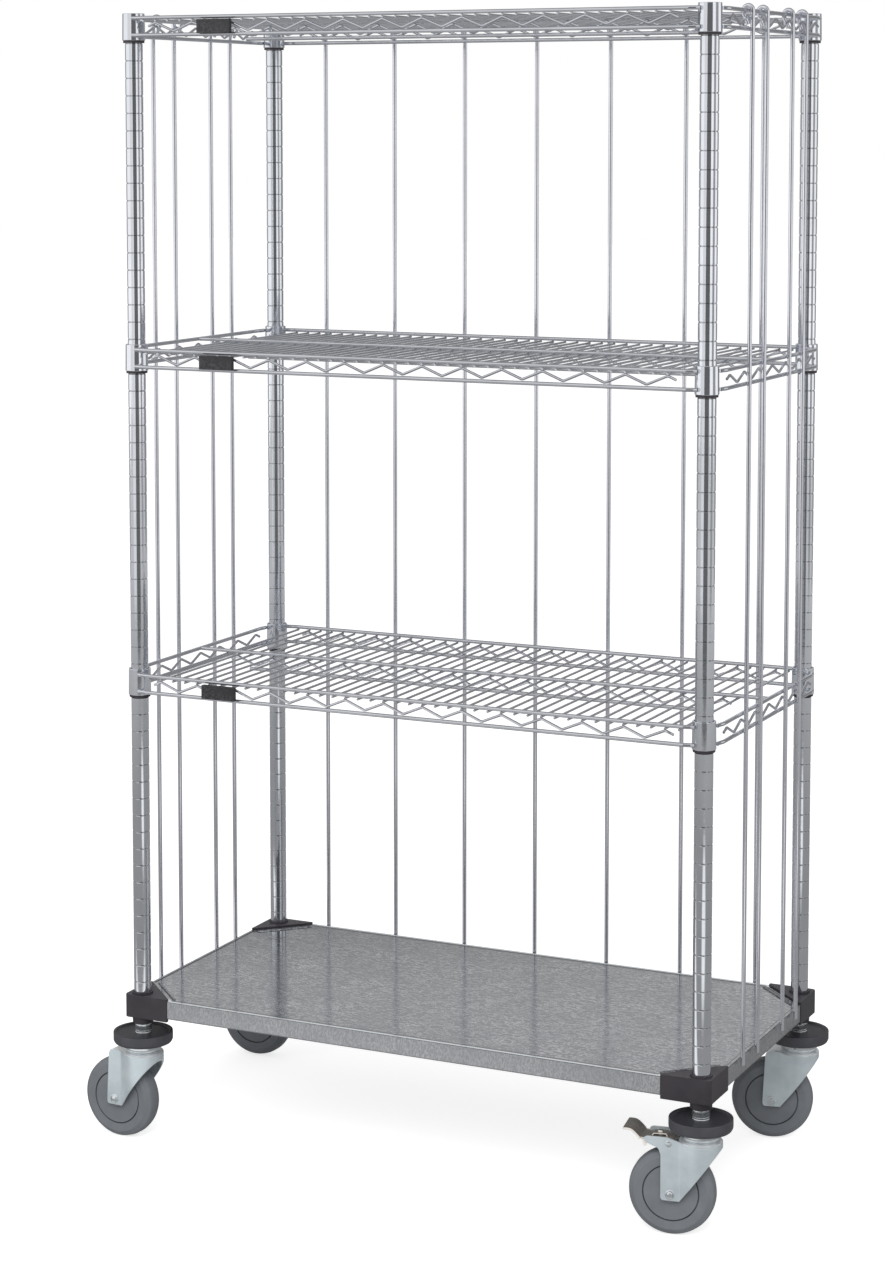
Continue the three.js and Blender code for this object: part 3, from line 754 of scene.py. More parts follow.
def rim_wire(half, beside, offset, rise):
    """A rim wire along X whose ends bend in and lie on the collars."""
    end = half - RIM_END
    seat = beside + math.sqrt(COLLAR_FOOT ** 2 - RIM_END ** 2) + RIM_REACH
    points = [
        (-end, seat, rise), (-end + RIM_BEND / 3, seat, rise), (-end + RIM_BEND, offset, rise),
        (end - RIM_BEND, offset, rise), (end - RIM_BEND / 3, seat, rise), (end, seat, rise)]
    path = eased_path(points, RIM_BEND)
    return wire("rim_wire", path, RIM_WIRE, RIM_SIDES, RIM_TIP)


def zigzag(pitch, folds, y):
    """A zigzag wire along X, with a free stub past its last bends."""
    first = -(folds - 1) / 2 * pitch
    fall = (FOLD_HIGH - FOLD_LOW) / (pitch / 2) * STUB
    points = [(first - STUB, y, FOLD_HIGH - fall)]
    for i in range(folds):
        points.append((first + i * pitch, y, FOLD_HIGH))
        if i < folds - 1:
            points.append((first + (i + 0.5) * pitch, y, FOLD_LOW))
    points.append((-first + STUB, y, FOLD_HIGH - fall))
    path = eased_path(points, FOLD_ROUND)
    return wire("zigzag", path, ZIGZAG_WIRE, ZIGZAG_SIDES, ZIGZAG_TIP)


def deck_wires():
    end = RIM_Y + DECK_REACH
    first = -(DECK_WIRES - 1) / 2 * DECK_PITCH
    line = [(first, -end, DECK_RISE), (first, end, DECK_RISE)]
    row = wire("deck_wires", line, DECK_WIRE, DECK_SIDES, DECK_TIP)
    return apply_modifier(
        row, "ARRAY", count=DECK_WIRES, use_relative_offset=False, use_constant_offset=True,
        constant_offset_displace=(DECK_PITCH * MM, 0, 0))


def collars_model():
    """A shelf's four collars, welded to its rim wires' ends."""
    ring = turned("collar", [
        (COLLAR_BORE, 0, 0), (COLLAR_FOOT, 0, COLLAR_ROUND),
        (COLLAR_HEAD, COLLAR_HEIGHT, COLLAR_ROUND),
        (COLLAR_BORE - COLLAR_TAPER, COLLAR_HEIGHT, COLLAR_ROUND / 2)], ring=True)
    spots = [shift(x * HALF_X, y * HALF_Y, 0) for x, y in SIDES.values()]
    rings = [copy_piece(ring, "corner_collar", spot) for spot in spots]
    drop(ring)
    return join_pieces(rings, "collars_model")


def shelf_model():
    """One shelf's wires about the cart's middle, over the level of its collars' feet."""
    parts = [deck_wires()]
    for rise in RIM_RISES:
        parts += turned_copies(rim_wire(HALF_X, HALF_Y, RIM_Y, rise), 0, 180)
        parts += turned_copies(rim_wire(HALF_Y, HALF_X, RIM_X, rise), 90, 270)
    parts += turned_copies(zigzag(FOLD_PITCH, FOLDS, RIM_Y), 0, 180)
    parts += turned_copies(zigzag(SIDE_FOLD_PITCH, SIDE_FOLDS, RIM_X), 90, 270)
    parts.append(zigzag(FOLD_PITCH, FOLDS, 0))
    for end, rise in ((MIDDLE_END, RIM_RISES[0]), (RIM_X, RIM_RISES[1])):
        line = [(-end, 0, rise), (end, 0, rise)]
        parts.append(wire("middle_wire", line, RIM_WIRE, RIM_SIDES, MIDDLE_TIP))
    return join_pieces(parts, "shelf_model")


# Black sleeves, wedged between post and collar
SLEEVE_BORE, SLEEVE_LIP, SLEEVE_HEAD = 13, 15.3, 14
SLEEVE_DROP = 3.5


def sleeve_model():
    return turned("sleeve_model", [
        (SLEEVE_BORE, -SLEEVE_DROP, 0), (SLEEVE_LIP, -SLEEVE_DROP, 0.5), (SLEEVE_LIP, -FIT, 0.3),
        (SLEEVE_HEAD, COLLAR_HEIGHT - FIT, 0.4), (SLEEVE_BORE, COLLAR_HEIGHT - FIT, 0),
    ], ring=True, easing=2)


# Bare plates under the front rim wires
PLATE_X, PLATE_WIDTH = -291, 53
PLATE_RISE, PLATE_HEIGHT = 8, 20
PLATE_DEPTH, PLATE_WALL = 4.3, 1.2
PLATE_ROUND = 0.5


def plate_model():
    """A shallow box, open to the back."""
    half = PLATE_WIDTH / 2
    top = PLATE_RISE + PLATE_HEIGHT
    outline = [(-half, 0, PLATE_RISE), (half, 0, PLATE_RISE), (half, 0, top), (-half, 0, top)]
    piece = slab("plate_model", outline, (0, PLATE_DEPTH, 0))
    for face in piece.data.polygons:
        face.select = face.normal.y > 0.9
    pick(piece)
    bpy.ops.object.mode_set(mode="EDIT")
    bpy.ops.mesh.select_mode(type="FACE")
    bpy.ops.mesh.inset(thickness=PLATE_WALL * MM)
    extrude((0, PLATE_WALL - PLATE_DEPTH, 0))
    bpy.ops.object.mode_set(mode="OBJECT")
    return soften(piece, PLATE_ROUND)


def add_shelves(chrome, shaded_wire_chrome, black, plate_black):
    shelf = shelf_model()
    collars = collars_model()
    sleeve = sleeve_model()
    plate = plate_model()
    face = -RIM_Y - RIM_WIRE - PLATE_DEPTH - 2 * FIT
    for i, level in enumerate(SHELF_LEVELS, 1):
        middle = place(0, 0, level)
        front = place(PLATE_X, face, level)
        node = f"wire_shelf_{i}"
        add_copy(shelf, f"welded_wires_{i}", middle, "cart", "chrome", shaded_wire_chrome, node)
        add_copy(collars, f"corner_collars_{i}", middle, "cart", "chrome", chrome, node)
        add_copy(
            plate, f"bare_plate_{i}", front, "cart", "plate", plate_black, f"label_plate_{i}")
        for name in CORNERS:
            end = f"sleeve_{i}_{name}"
            spot = corner_place(name, level)
            add_copy(sleeve, f"wedge_{end}", spot, "cart", "sleeve", black, end)
    drop(shelf, collars, sleeve, plate)


# Rods that hook over the top shelf's rim wires
ROD_RADIUS = 3.1
HOOK_BEND = 6.5
HOOK_STEPS = 14
ROD_TRIM = 13
ROD_FOOT = ends_of("rod_back_1")[0].z + ROD_TRIM
ROD_LEVEL = SHELF_LEVELS[2] + RIM_RISES[1]
# Each row of rods: how many, their turn, and how far the hook's tail reaches down
ROD_ROWS = {"back": (7, 0, 14.5), "left": (4, 90, 18.5), "right": (4, -90, 18.5)}
ROD_SIDES = 16
ROD_TIP = 0.93
# The hook's way back to the shank: shares of its bend behind the wire, and of its tail down
HOOK_TIP_SHARES = ((0.96, 0.18), (0.8, 0.38), (0.3, 0.74))


def rod_model(tail):
    """A rod over a rim wire that lies along X through the origin, its tip back at the shank."""
    points = [(0, HOOK_BEND, ROD_FOOT - ROD_LEVEL), (0, HOOK_BEND, -tail)]
    for i in range(HOOK_STEPS + 1):
        angle = math.pi * i / HOOK_STEPS
        points.append((0, HOOK_BEND * math.cos(angle), HOOK_BEND * math.sin(angle)))
    points += [(0, -HOOK_BEND * back, -tail * down) for back, down in HOOK_TIP_SHARES]
    points.append((0, 0, -tail))
    return wire("rod_model", points, ROD_RADIUS, ROD_SIDES, ROD_TIP)


def add_rods(lit_rod_chrome):
    for side, (count, turn, tail) in ROD_ROWS.items():
        rod = rod_model(tail)
        for i in range(1, count + 1):
            node = f"rod_{side}_{i}"
            along = middle_of(node) - MIDDLE
            spots = {
                "back": (along.x, RIM_Y), "left": (-RIM_X, along.y), "right": (RIM_X, along.y)}
            spot = place(*spots[side], ROD_LEVEL, turn)
            add_copy(rod, f"hooked_{node}", spot, "cart", "rod", lit_rod_chrome, node)
        drop(rod)


# Corner blocks, moulded in black and triangular in plan
BLOCK_TOP = 222
BLOCK_HEIGHT = 34
BLOCK_OUT_X, BLOCK_OUT_Y = 20, 19.5
OUT_X, OUT_Y = HALF_X + BLOCK_OUT_X, HALF_Y + BLOCK_OUT_Y
BLOCK_LEG = 72
BLOCK_TIP = 5
BLOCK_ROUND = 8
BLOCK_EDGE, BLOCK_BEVEL = 0.8, 0.9
RING_BORE, RING_RADIUS, RING_HEIGHT = 13, 15.2, 2.6
RING_SINK, RING_FLARE = 1, 0.4
NECK_RADIUS, NECK_DROP, NECK_FLARE = 15, 11, 0.6


def block_model(side):
    """A block about its post, with its tips towards -X and, for side 1, towards -Y."""
    in_x = BLOCK_OUT_X - BLOCK_LEG
    in_y = BLOCK_OUT_Y - BLOCK_LEG
    corners = [
        (in_x, BLOCK_OUT_Y, BLOCK_EDGE), (in_x, BLOCK_OUT_Y - BLOCK_TIP, BLOCK_EDGE),
        (BLOCK_OUT_X - BLOCK_TIP, in_y, BLOCK_EDGE), (BLOCK_OUT_X, in_y, BLOCK_EDGE),
        (BLOCK_OUT_X, BLOCK_OUT_Y, BLOCK_ROUND)]
    outline = [(point.x, point.y * side, 0) for point in eased(corners, FINE_EASE_STEPS)]
    body = soften(slab("block_body", outline, (0, 0, BLOCK_HEIGHT)), BLOCK_BEVEL)
    foot = BLOCK_HEIGHT - RING_SINK
    top = BLOCK_HEIGHT + RING_HEIGHT
    ring = turned("block_ring", [
        (RING_BORE, foot, 0), (RING_BORE, top, 0.4), (RING_RADIUS, top, 0.6),
        (RING_RADIUS + RING_FLARE, foot, 0)], ring=True)
    neck = turned("block_neck", [
        (0, -NECK_DROP, 0), (NECK_RADIUS, -NECK_DROP, BLOCK_EDGE),
        (NECK_RADIUS + NECK_FLARE, RING_SINK, 0), (0, RING_SINK, 0)])
    return join_pieces([body, ring, neck], "block_model")


# Bottom shelf: a pressed galvanised pan with a hem and cut corners
DECK_TOP = 219.3
DECK_RIM = 26.5
DECK_RECESS = 1
DECK_SHEET = 1.4
HEM_WIDTH, HEM_RISE = 4.5, 0.8
# How far the painted shade reaches beside the front and back hems, beside the side hems, and up
# from the rim's foot
HEM_LINE, HEM_SIDE_LINE, FOLD_LINE = 6, 2, 1.8
BEAD_RADIUS, BEAD_INSET = 2.2, 4
BEAD_END, BEAD_SIDE = 6, 14
BEAD_SIDES, BEAD_TIP = 14, 1.1
DECK_BEVEL = 0.6
CUT_OVER = 5


def deck_outline(inset, z):
    edge = DECK_RECESS + inset
    gap = FIT + inset
    step = BLOCK_TIP + gap * (math.sqrt(2) - 1)
    cut_corner = [
        (OUT_X - BLOCK_LEG - gap, OUT_Y - edge), (OUT_X - BLOCK_LEG - gap, OUT_Y - step),
        (OUT_X - step, OUT_Y - BLOCK_LEG - gap), (OUT_X - edge, OUT_Y - BLOCK_LEG - gap)]
    outline = []
    for x, y in ((1, -1), (1, 1), (-1, 1), (-1, -1)):
        corner = [(x * along, y * across, z) for along, across in cut_corner]
        outline += corner[::-1] if x == y else corner
    return outline


def deck_model():
    foot = DECK_TOP - DECK_RIM
    floor = DECK_TOP - HEM_RISE
    pan = slab("deck_pan", deck_outline(0, foot), (0, 0, DECK_RIM))
    hollow = floor - foot + CUT_OVER - DECK_SHEET
    cut(pan, slab("underside", deck_outline(DECK_SHEET, foot - CUT_OVER), (0, 0, hollow)))
    cut(pan, slab("well", deck_outline(HEM_WIDTH, floor), (0, 0, CUT_OVER)))
    parts = [soften(pan, DECK_BEVEL)]
    inset = BLOCK_LEG - BLOCK_TIP + BEAD_INSET + BEAD_END
    for x, y in SIDES.values():
        ends = [
            (x * (OUT_X - inset), y * (OUT_Y - BEAD_SIDE), floor),
            (x * (OUT_X - BEAD_SIDE), y * (OUT_Y - inset), floor)]
        parts.append(wire("rolled_bead", ends, BEAD_RADIUS, BEAD_SIDES, BEAD_TIP))
    return join_pieces(parts, "deck_model")


def add_base(galvanised, black):
    deck = settle(deck_model(), place(0, 0, 0))
    deck.name = "pressed_deck"
    finish_piece(deck, "cart", "deck", galvanised, "bottom_shelf")
    blocks = {1: block_model(1), -1: block_model(-1)}
    for name in CORNERS:
        x, y = SIDES[name]
        spot = corner_place(name, BLOCK_TOP - BLOCK_HEIGHT, 0 if x > 0 else 180)
        add_copy(
            blocks[x * y], f"moulded_corner_{name}", spot, "cart", "block", black,
            f"corner_block_{name}")
    drop(*blocks.values())


# Casters, modelled with the stem on the Z axis and the wheel trailing along +X
TRAIL = (middle_of("wheel_FL") - STEMS["FL"]).xy.length
WHEEL_RADIUS, WHEEL_HALF = 60, 16
HUB_RADIUS, HUB_INSET, HUB_GAP = 38.6, 1.2, 4
BEARING_BORE, BEARING_RADIUS, BEARING_HALF = 4.4, 12, 18.8
TYRE_SHOULDER, TREAD_FALL, TREAD_EDGE, TREAD_LINE = 9, 1.6, 5.5, 12.5
RACE_FOOT, RACE_TOP, RACE_RADIUS = 137, 149.3, 28
STEM_WAIST, STEM_RADIUS = 11.9, 12.8
STEM_STEP, STEM_TOP = 167, 176.6
RACE_TAPER, RACE_LIP = 2, 4
STEM_THREADS, THREAD_DEPTH = 6, 0.9
THREAD_START, THREAD_CREST, THREAD_SLOPE = 0.3, 2.1, 0.5
BUMPER_RADIUS, BUMPER_TOP, BUMPER_BAND = 43.9, 164.7, 16.5
BUMPER_SKIRT, SKIRT_TAPER = 34, 1
BAND_TAPER, BAND_RISE = 2, 4
DISH_DEPTH, DISH_EDGE, DISH_SLOPE, DISH_SAG = 2.6, 4, 2, 0.4
CROWN_RADIUS, CROWN_FOOT, CROWN_TOP = 30, 129.2, 134.2
CROWN_TAPER, CROWN_LIP, CROWN_ROLL, CROWN_ROUND = 1.5, 1, 3.4, 1.6
LOWER_RACE = 22
LEG_OUT, LEG_WALL, LEG_CREASE = 21.5, 2.4, 25
CREASE_ROUND, CREASE_STEPS, CROWN_BENDS = 14, 6, 24
SHEET_RUN = 100
LEG_FOOT, LEG_HEAD = 46, 146
FORK_BEVEL, FORK_ANGLE, ROOF_BEVEL = 0.9, 40, 0.5
AXLE_RADIUS, AXLE_TIP, TIP_RADIUS = 4, 6, 3.7
HEAD_HEIGHT, HEAD_FOOT, FLANGE_RADIUS = 3.5, 1, 6.25
NUT_RADIUS, NUT_HEIGHT, NUT_BEVEL = 7.4, 4.6, 0.6
PIN_RUN, PIN_LEVEL, PIN_RADIUS, PIN_HEAD = 40, 130.4, 3, 4.5
# Steps round what is spun
STEM_STEPS, BUMPER_STEPS, WHEEL_STEPS, CROWN_STEPS = 56, 72, 80, 64
BOLT_STEPS, HEAD_STEPS, PIN_STEPS = 24, 32, 28


def mirrored(half):
    """The corners of half a profile, followed by those of its other half."""
    return half + [(radius, -height, easing) for radius, height, easing in reversed(half)]


def stem_model():
    corners = [
        (0, RACE_FOOT, 0), (RACE_RADIUS - RACE_TAPER, RACE_FOOT, 1),
        (RACE_RADIUS, RACE_FOOT + RACE_LIP, 2), (RACE_RADIUS, RACE_TOP, 1.4),
        (STEM_WAIST, RACE_TOP, 0)]
    for i in range(STEM_THREADS):
        foot = RACE_TOP + i / STEM_THREADS * (STEM_STEP - RACE_TOP)
        corners += [
            (STEM_WAIST, foot + THREAD_START, 0), (STEM_WAIST, foot + THREAD_CREST, 0.3),
            (STEM_WAIST - THREAD_DEPTH, foot + THREAD_CREST + THREAD_SLOPE, 0)]
    return turned("stem_model", [
        *corners, (STEM_WAIST - THREAD_DEPTH, STEM_STEP, 0), (STEM_RADIUS, STEM_STEP, 0.9),
        (STEM_RADIUS, STEM_TOP, 0.8), (0, STEM_TOP, 0)], STEM_STEPS)


def bumper_model():
    foot = RACE_TOP + FIT
    shoulder = BUMPER_TOP - BUMPER_BAND
    return turned("bumper_model", [
        (STEM_WAIST + FIT, foot, 0), (BUMPER_SKIRT - SKIRT_TAPER, foot, 0),
        (BUMPER_SKIRT, shoulder, 0.8), (BUMPER_RADIUS - BAND_TAPER, shoulder, 2),
        (BUMPER_RADIUS, shoulder + BAND_RISE, 3), (BUMPER_RADIUS, BUMPER_TOP, 1.4),
        (BUMPER_RADIUS - DISH_EDGE, BUMPER_TOP, 1.2),
        (BUMPER_RADIUS - DISH_EDGE - DISH_SLOPE, BUMPER_TOP - DISH_DEPTH, 1.5),
        (STEM_WAIST + FIT, BUMPER_TOP - DISH_DEPTH - DISH_SAG, 0)], BUMPER_STEPS, ring=True)


def wheel_model():
    """Tyre and hub cap in one, spun and then laid with its axle along Y."""
    hub = WHEEL_HALF - HUB_INSET
    half = [
        (BEARING_BORE, BEARING_HALF, 0), (BEARING_RADIUS, BEARING_HALF, 0.6),
        (BEARING_RADIUS + 0.2, hub - 0.6, 0), (HUB_RADIUS - 1, hub + 0.2, 0.6),
        (HUB_RADIUS - 0.9, hub - HUB_GAP, 0), (HUB_RADIUS + 0.7, hub - HUB_GAP, 0),
        (HUB_RADIUS + 0.8, WHEEL_HALF - 0.6, 0.7), (WHEEL_RADIUS - TYRE_SHOULDER, WHEEL_HALF, 3),
        (WHEEL_RADIUS - TREAD_FALL, WHEEL_HALF - TREAD_EDGE, 5),
        (WHEEL_RADIUS, WHEEL_HALF - TREAD_LINE, 0)]
    return settle(turned("wheel_model", mirrored(half), WHEEL_STEPS, ring=True), LAID)


def fork_wall():
    """The fork's bent sheet, before its sides are cut: two legs flaring into a round crown."""
    reach = math.hypot(LEG_CREASE, LEG_OUT)
    start = math.atan2(LEG_OUT, LEG_CREASE) + math.acos(CROWN_RADIUS / reach)
    plan = [(SHEET_RUN, -LEG_OUT, 0), (LEG_CREASE, -LEG_OUT, CREASE_ROUND)]
    for i in range(CROWN_BENDS + 1):
        angle = -start - i / CROWN_BENDS * (2 * math.pi - 2 * start)
        plan.append((CROWN_RADIUS * math.cos(angle), CROWN_RADIUS * math.sin(angle), 0))
    plan += [(LEG_CREASE, LEG_OUT, CREASE_ROUND), (SHEET_RUN, LEG_OUT, 0)]
    line = eased(plan, CREASE_STEPS)
    piece = extrude_path([(point.x, point.y, LEG_FOOT) for point in line])
    extrude_all((0, 0, LEG_HEAD - LEG_FOOT))
    close_seams()
    outward = sum(face.normal.dot(face.center) for face in piece.data.polygons) > 0
    return thicken(piece, LEG_WALL, outward)


# The fork's side outline: its front, and its rear without a brake and with one. Then its roof
LEG_FRONT = [(-40, 129.6, 0), (-40, 124.5, 0), (-30, 124.5, 4), (25, 51.5, 2), (51, 51.5, 5)]
LEG_REAR = [(51, 60, 0), (47.5, 128, 3), (45, 134.6, 4), (28, 134.6, 8), (12.5, 130.8, 6)]
EAR_REAR = [
    (51, 114, 4), (54, 123.4, 7), (66, 127.4, 5), (73, 132, 2), (74, 136.4, 1.6), (70, 138.6, 4),
    (42, 138.6, 14), (12, 130, 14)]
ROOF = [(12, 130.4, 0), (45, 130.4, 1), (44.5, 134, 1), (12, 134, 0)]


def crown_model():
    return turned("crown_model", [
        (0, CROWN_FOOT, 0), (CROWN_RADIUS - CROWN_TAPER, CROWN_FOOT, 0),
        (CROWN_RADIUS, CROWN_FOOT + CROWN_LIP, 1),
        (CROWN_RADIUS, CROWN_TOP - CROWN_ROUND, CROWN_ROUND),
        (CROWN_RADIUS - CROWN_ROLL, CROWN_TOP, CROWN_ROUND),
        (LOWER_RACE, CROWN_TOP, 0.3), (LOWER_RACE, RACE_FOOT - FIT, 0.6),
        (0, RACE_FOOT - FIT, 0)], CROWN_STEPS)


def axle_model(side):
    """The axle: a domed bolt head towards one side, a nut and the bolt's end on the other."""
    half = [(0, -LEG_OUT, 0), (AXLE_RADIUS, -LEG_OUT, 0)]
    shank = turned("axle_shank", mirrored(half), BOLT_STEPS)
    head, foot = -LEG_OUT - HEAD_HEIGHT, -LEG_OUT - HEAD_FOOT
    dome = turned("axle_head", [
        (0, head, 0), (AXLE_RADIUS, head + 0.3, 2), (AXLE_RADIUS + 0.2, foot, 0),
        (AXLE_RADIUS + 0.8, foot, 0), (AXLE_RADIUS + 1, foot - 1, 0.3),
        (FLANGE_RADIUS, foot - 0.6, 0.6), (FLANGE_RADIUS, -LEG_OUT, 0), (0, -LEG_OUT, 0),
    ], HEAD_STEPS, easing=3)
    turns = [math.radians(60 * i) for i in range(6)]
    outline = [
        (NUT_RADIUS * math.cos(a), NUT_RADIUS * math.sin(a), LEG_OUT - FIT) for a in turns]
    hexagon = soften(slab("axle_nut", outline, (0, 0, NUT_HEIGHT)), NUT_BEVEL)
    end = LEG_OUT + AXLE_TIP
    tip = turned("axle_end", [
        (0, LEG_OUT, 0), (TIP_RADIUS, LEG_OUT, 0), (TIP_RADIUS, end, 0.7), (0, end, 0),
    ], BOLT_STEPS)
    piece = join_pieces([shank, dome, hexagon, tip], "axle_model")
    lay = Matrix.Rotation(math.pi / 2 * side, 4, "X")
    return settle(piece, shift(TRAIL, 0, WHEEL_RADIUS) @ lay)


def pin_model():
    half = [
        (0, -LEG_OUT - 1.7, 0), (PIN_HEAD, -LEG_OUT - 1.5, 1.3), (PIN_HEAD, -LEG_OUT, 0),
        (PIN_RADIUS, -LEG_OUT, 0)]
    piece = turned("pin_model", mirrored(half), PIN_STEPS)
    return settle(piece, shift(PIN_RUN, 0, PIN_LEVEL) @ LAID)


def fork_model(braked):
    """The sheet and its crown. Without a brake, a roof closes it between the legs."""
    wall = fork_wall()
    outline = LEG_FRONT + (EAR_REAR if braked else LEG_REAR)
    cut(wall, side_slab("leg_side", outline, (CROWN_RADIUS + CUT_OVER) * 2), "INTERSECT")
    parts = [soften(wall, FORK_BEVEL, FORK_ANGLE), crown_model()]
    if not braked:
        roof = side_slab("fork_roof", ROOF, LEG_OUT * 2 - LEG_WALL)
        parts.append(soften(roof, ROOF_BEVEL))
    return join_pieces(parts, "fork_model")


def bolts_model(braked, head_side):
    """The axle, and the brake's pin where there is one."""
    axle = axle_model(head_side)
    return join_pieces([axle, pin_model()], "bolts_model") if braked else axle


# Brake: a bent pedal, its lever channel between the legs, and a riveted saddle on top
PEDAL_WIDTH, PEDAL_SHEET, PEDAL_BEVEL = 42, 3, 0.9
PEDAL_LINE = [
    (104, 146.2), (102.5, 147.1), (99, 147.3), (95, 147.1), (91.5, 146.2), (88, 144.1),
    (84.5, 141), (81.5, 138), (78.6, 134.8)]
LEVER_LINE = [(80.6, 136.4), (77, 134.6), (70, 134.6), (60, 135.4), (44, 135.6), (34, 134.4)]
LEVER_HALF, LEVER_SHEET, LEVER_BEVEL, CHEEK_BEVEL = 17.8, 2.4, 0.6, 0.5
CHEEK = [
    (33.2, 124.4, 2), (56, 124.4, 3), (70, 127.8, 1), (72, 123.4, 0.8), (74.5, 123.4, 0.8),
    (77, 130, 1.5), (80, 135, 1), (56, 134.6, 0), (33.2, 133.6, 1)]
SADDLE_LINE = [(66, 135.2), (64.4, 138.4), (55, 139.4), (46, 139.2), (43.5, 135.4)]
SADDLE_WIDTH, SADDLE_SHEET, SADDLE_BEVEL = 15, 1.8, 0.5
RIVET_RUN, RIVET_RADIUS, RIVET_FOOT, RIVET_TOP = 55, 4.2, 134, 141.8


def brake_model():
    strips = (
        ("pedal_plate", PEDAL_LINE, PEDAL_WIDTH, PEDAL_SHEET, PEDAL_BEVEL),
        ("lever_web", LEVER_LINE, LEVER_HALF * 2, LEVER_SHEET, LEVER_BEVEL),
        ("lever_saddle", SADDLE_LINE, SADDLE_WIDTH, SADDLE_SHEET, SADDLE_BEVEL))
    parts = [soften(bent_strip(*strip), bevel) for *strip, bevel in strips]
    for side in (-1, 1):
        cheek = side_slab("lever_cheek", CHEEK, LEVER_SHEET)
        settle(cheek, shift(0, side * (LEVER_HALF - LEVER_SHEET / 2), 0))
        parts.append(soften(cheek, CHEEK_BEVEL))
    rivet = turned("lever_rivet", [
        (0, RIVET_FOOT, 0), (RIVET_RADIUS, RIVET_FOOT, 0), (RIVET_RADIUS, RIVET_TOP - 0.2, 1.8),
        (0, RIVET_TOP, 0)], BOLT_STEPS)
    parts.append(settle(rivet, shift(RIVET_RUN, 0, 0)))
    return join_pieces(parts, "brake_model")


def add_casters(bright_zinc, zinc, rubber, tyre, bronze):
    stem, bumper, wheel, brake = stem_model(), bumper_model(), wheel_model(), brake_model()
    forks = {name: fork_model(name in BRAKED) for name in CORNERS}
    bolts = {name: bolts_model(name in BRAKED, -SIDES[name][1]) for name in CORNERS}
    for name in CORNERS:
        away = middle_of(f"wheel_{name}") - STEMS[name]
        still = corner_place(name, 0)
        turning = corner_place(name, 0, math.degrees(math.atan2(away.y, away.x)))
        rolling = turning @ shift(TRAIL, 0, WHEEL_RADIUS)
        pieces = [
            (stem, "caster_stem", still, "cart", "zinc", bright_zinc, "stem"),
            (bumper, "round_bumper", still, "cart", "bumper", rubber, "bumper"),
            (forks[name], "pressed_fork", turning, f"caster_{name}", "zinc", zinc, "fork"),
            (bolts[name], "fork_bolts", turning, f"caster_{name}", "zinc", bright_zinc, "fork"),
            (wheel, "tyred_wheel", rolling, f"roller_{name}", "wheel", tyre, "wheel")]
        if name in BRAKED:
            pieces.append(
                (brake, "foot_pedal", turning, f"pedal_{name}", "pedal", bronze, "brake"))
        for model, title, *finish, node in pieces:
            add_copy(model, f"{title}_{name}", *finish, f"{node}_{name}")
    drop(stem, bumper, wheel, brake, *forks.values(), *bolts.values())


# Studio: a pale floor, a white world, soft lamps that nothing reflects, and grey cards that
# only reflections show
FLOOR_SIZE, FLOOR_DROP = 60, 0.5
FLOOR_SHADE, FLOOR_ROUGHNESS = 0.8, 0.9
FLOOR_LIFT = 0.7
WORLD_LIGHT = 0.45
LAMPS = {
    "key_lamp": ((1.7, -4.7, 4.2), (3.6, 3.6), 240),
    "fill_lamp": ((-3.4, -3.6, 3.0), (2.4, 2.4), 12),
}
LAMP_TARGET = (0, 0, 0.8)
# Each upright card: turn round the cart from the front, distance, width, height, shade
UPRIGHT_CARDS = {
    "card_by_camera": (24, 3.9, 3.4, 4, 0.14),
    "card_front_left": (-20, 5.0, 3.0, 4, 0.8),
    "card_left": (-112, 5.5, 4.0, 6, 0.36),
    "card_right": (88, 5.5, 2.6, 6, 0.34),
    "card_right_back": (152, 5.5, 3.4, 6, 0.26),
    "card_back_low": (205, 6.3, 11.0, 1.95, 0.28),
    "card_back": (205, 6.4, 11.0, 3.0, 0.84),
    "card_back_high": (205, 6.5, 11.0, 6, 1.0),
}
# A flat card: its middle from front to back, size, height over the floor and shade
OVERHEAD_CARDS = {
    "card_overhead": (3.6, 9, 3.4, 0.34),
    "card_overhead_front": (-4.4, 7, 5.4, 0.85),
}
GROUND_CARD = (0, 18, 0.001, 0.31)
GROUND_FAR_SHADE = 0.6
GROUND_FAR = (2.4, 6.0)
# Pools of light on the ground card: middle, half width and half depth
LIGHT_POOLS = [((1.3, -1.55), 0.85, 0.85), ((-0.4, -0.66), 1.3, 0.31)]
POOL_FADE = (1.0, 0.5)


def background_rays(tree):
    """1 for the rays that should see a white background."""
    path = tree.nodes.new("ShaderNodeLightPath")
    seen = path.outputs["Is Camera Ray"]
    for ray in ("Is Glossy Ray", "Is Transmission Ray"):
        seen = math_node(tree, "MAXIMUM", seen, path.outputs[ray])
    return seen


def studio_material(name, shade, values):
    """A grey material without shine that can glow white, and its shader."""
    material, shader = new_material(name, {
        "Base Color": (shade, shade, shade, 1), "Specular IOR Level": 0.0,
        "Emission Color": (1, 1, 1, 1), **values})
    material.cycles.emission_sampling = "NONE"
    return material, shader


def studio_floor():
    pick(None)
    bpy.ops.mesh.primitive_plane_add(size=FLOOR_SIZE, location=(0, 0, -FLOOR_DROP * MM))
    floor = bpy.context.object
    floor.name = "studio_floor"
    material, shader = studio_material(
        "studio_floor", FLOOR_SHADE, {"Roughness": FLOOR_ROUGHNESS})
    tree = material.node_tree
    lift = math_node(tree, "MULTIPLY", background_rays(tree), FLOOR_LIFT)
    tree.links.new(lift, shader.inputs["Emission Strength"])
    floor.data.materials.append(material)


def upright(turn, distance, height):
    """The middle of a card that stands on the floor and faces the cart."""
    angle = math.radians(turn)
    spot = Vector((distance * math.sin(angle), -distance * math.cos(angle), height / 2))
    return Matrix.Translation(spot) @ Matrix.Rotation(angle, 4, "Z") @ LAID


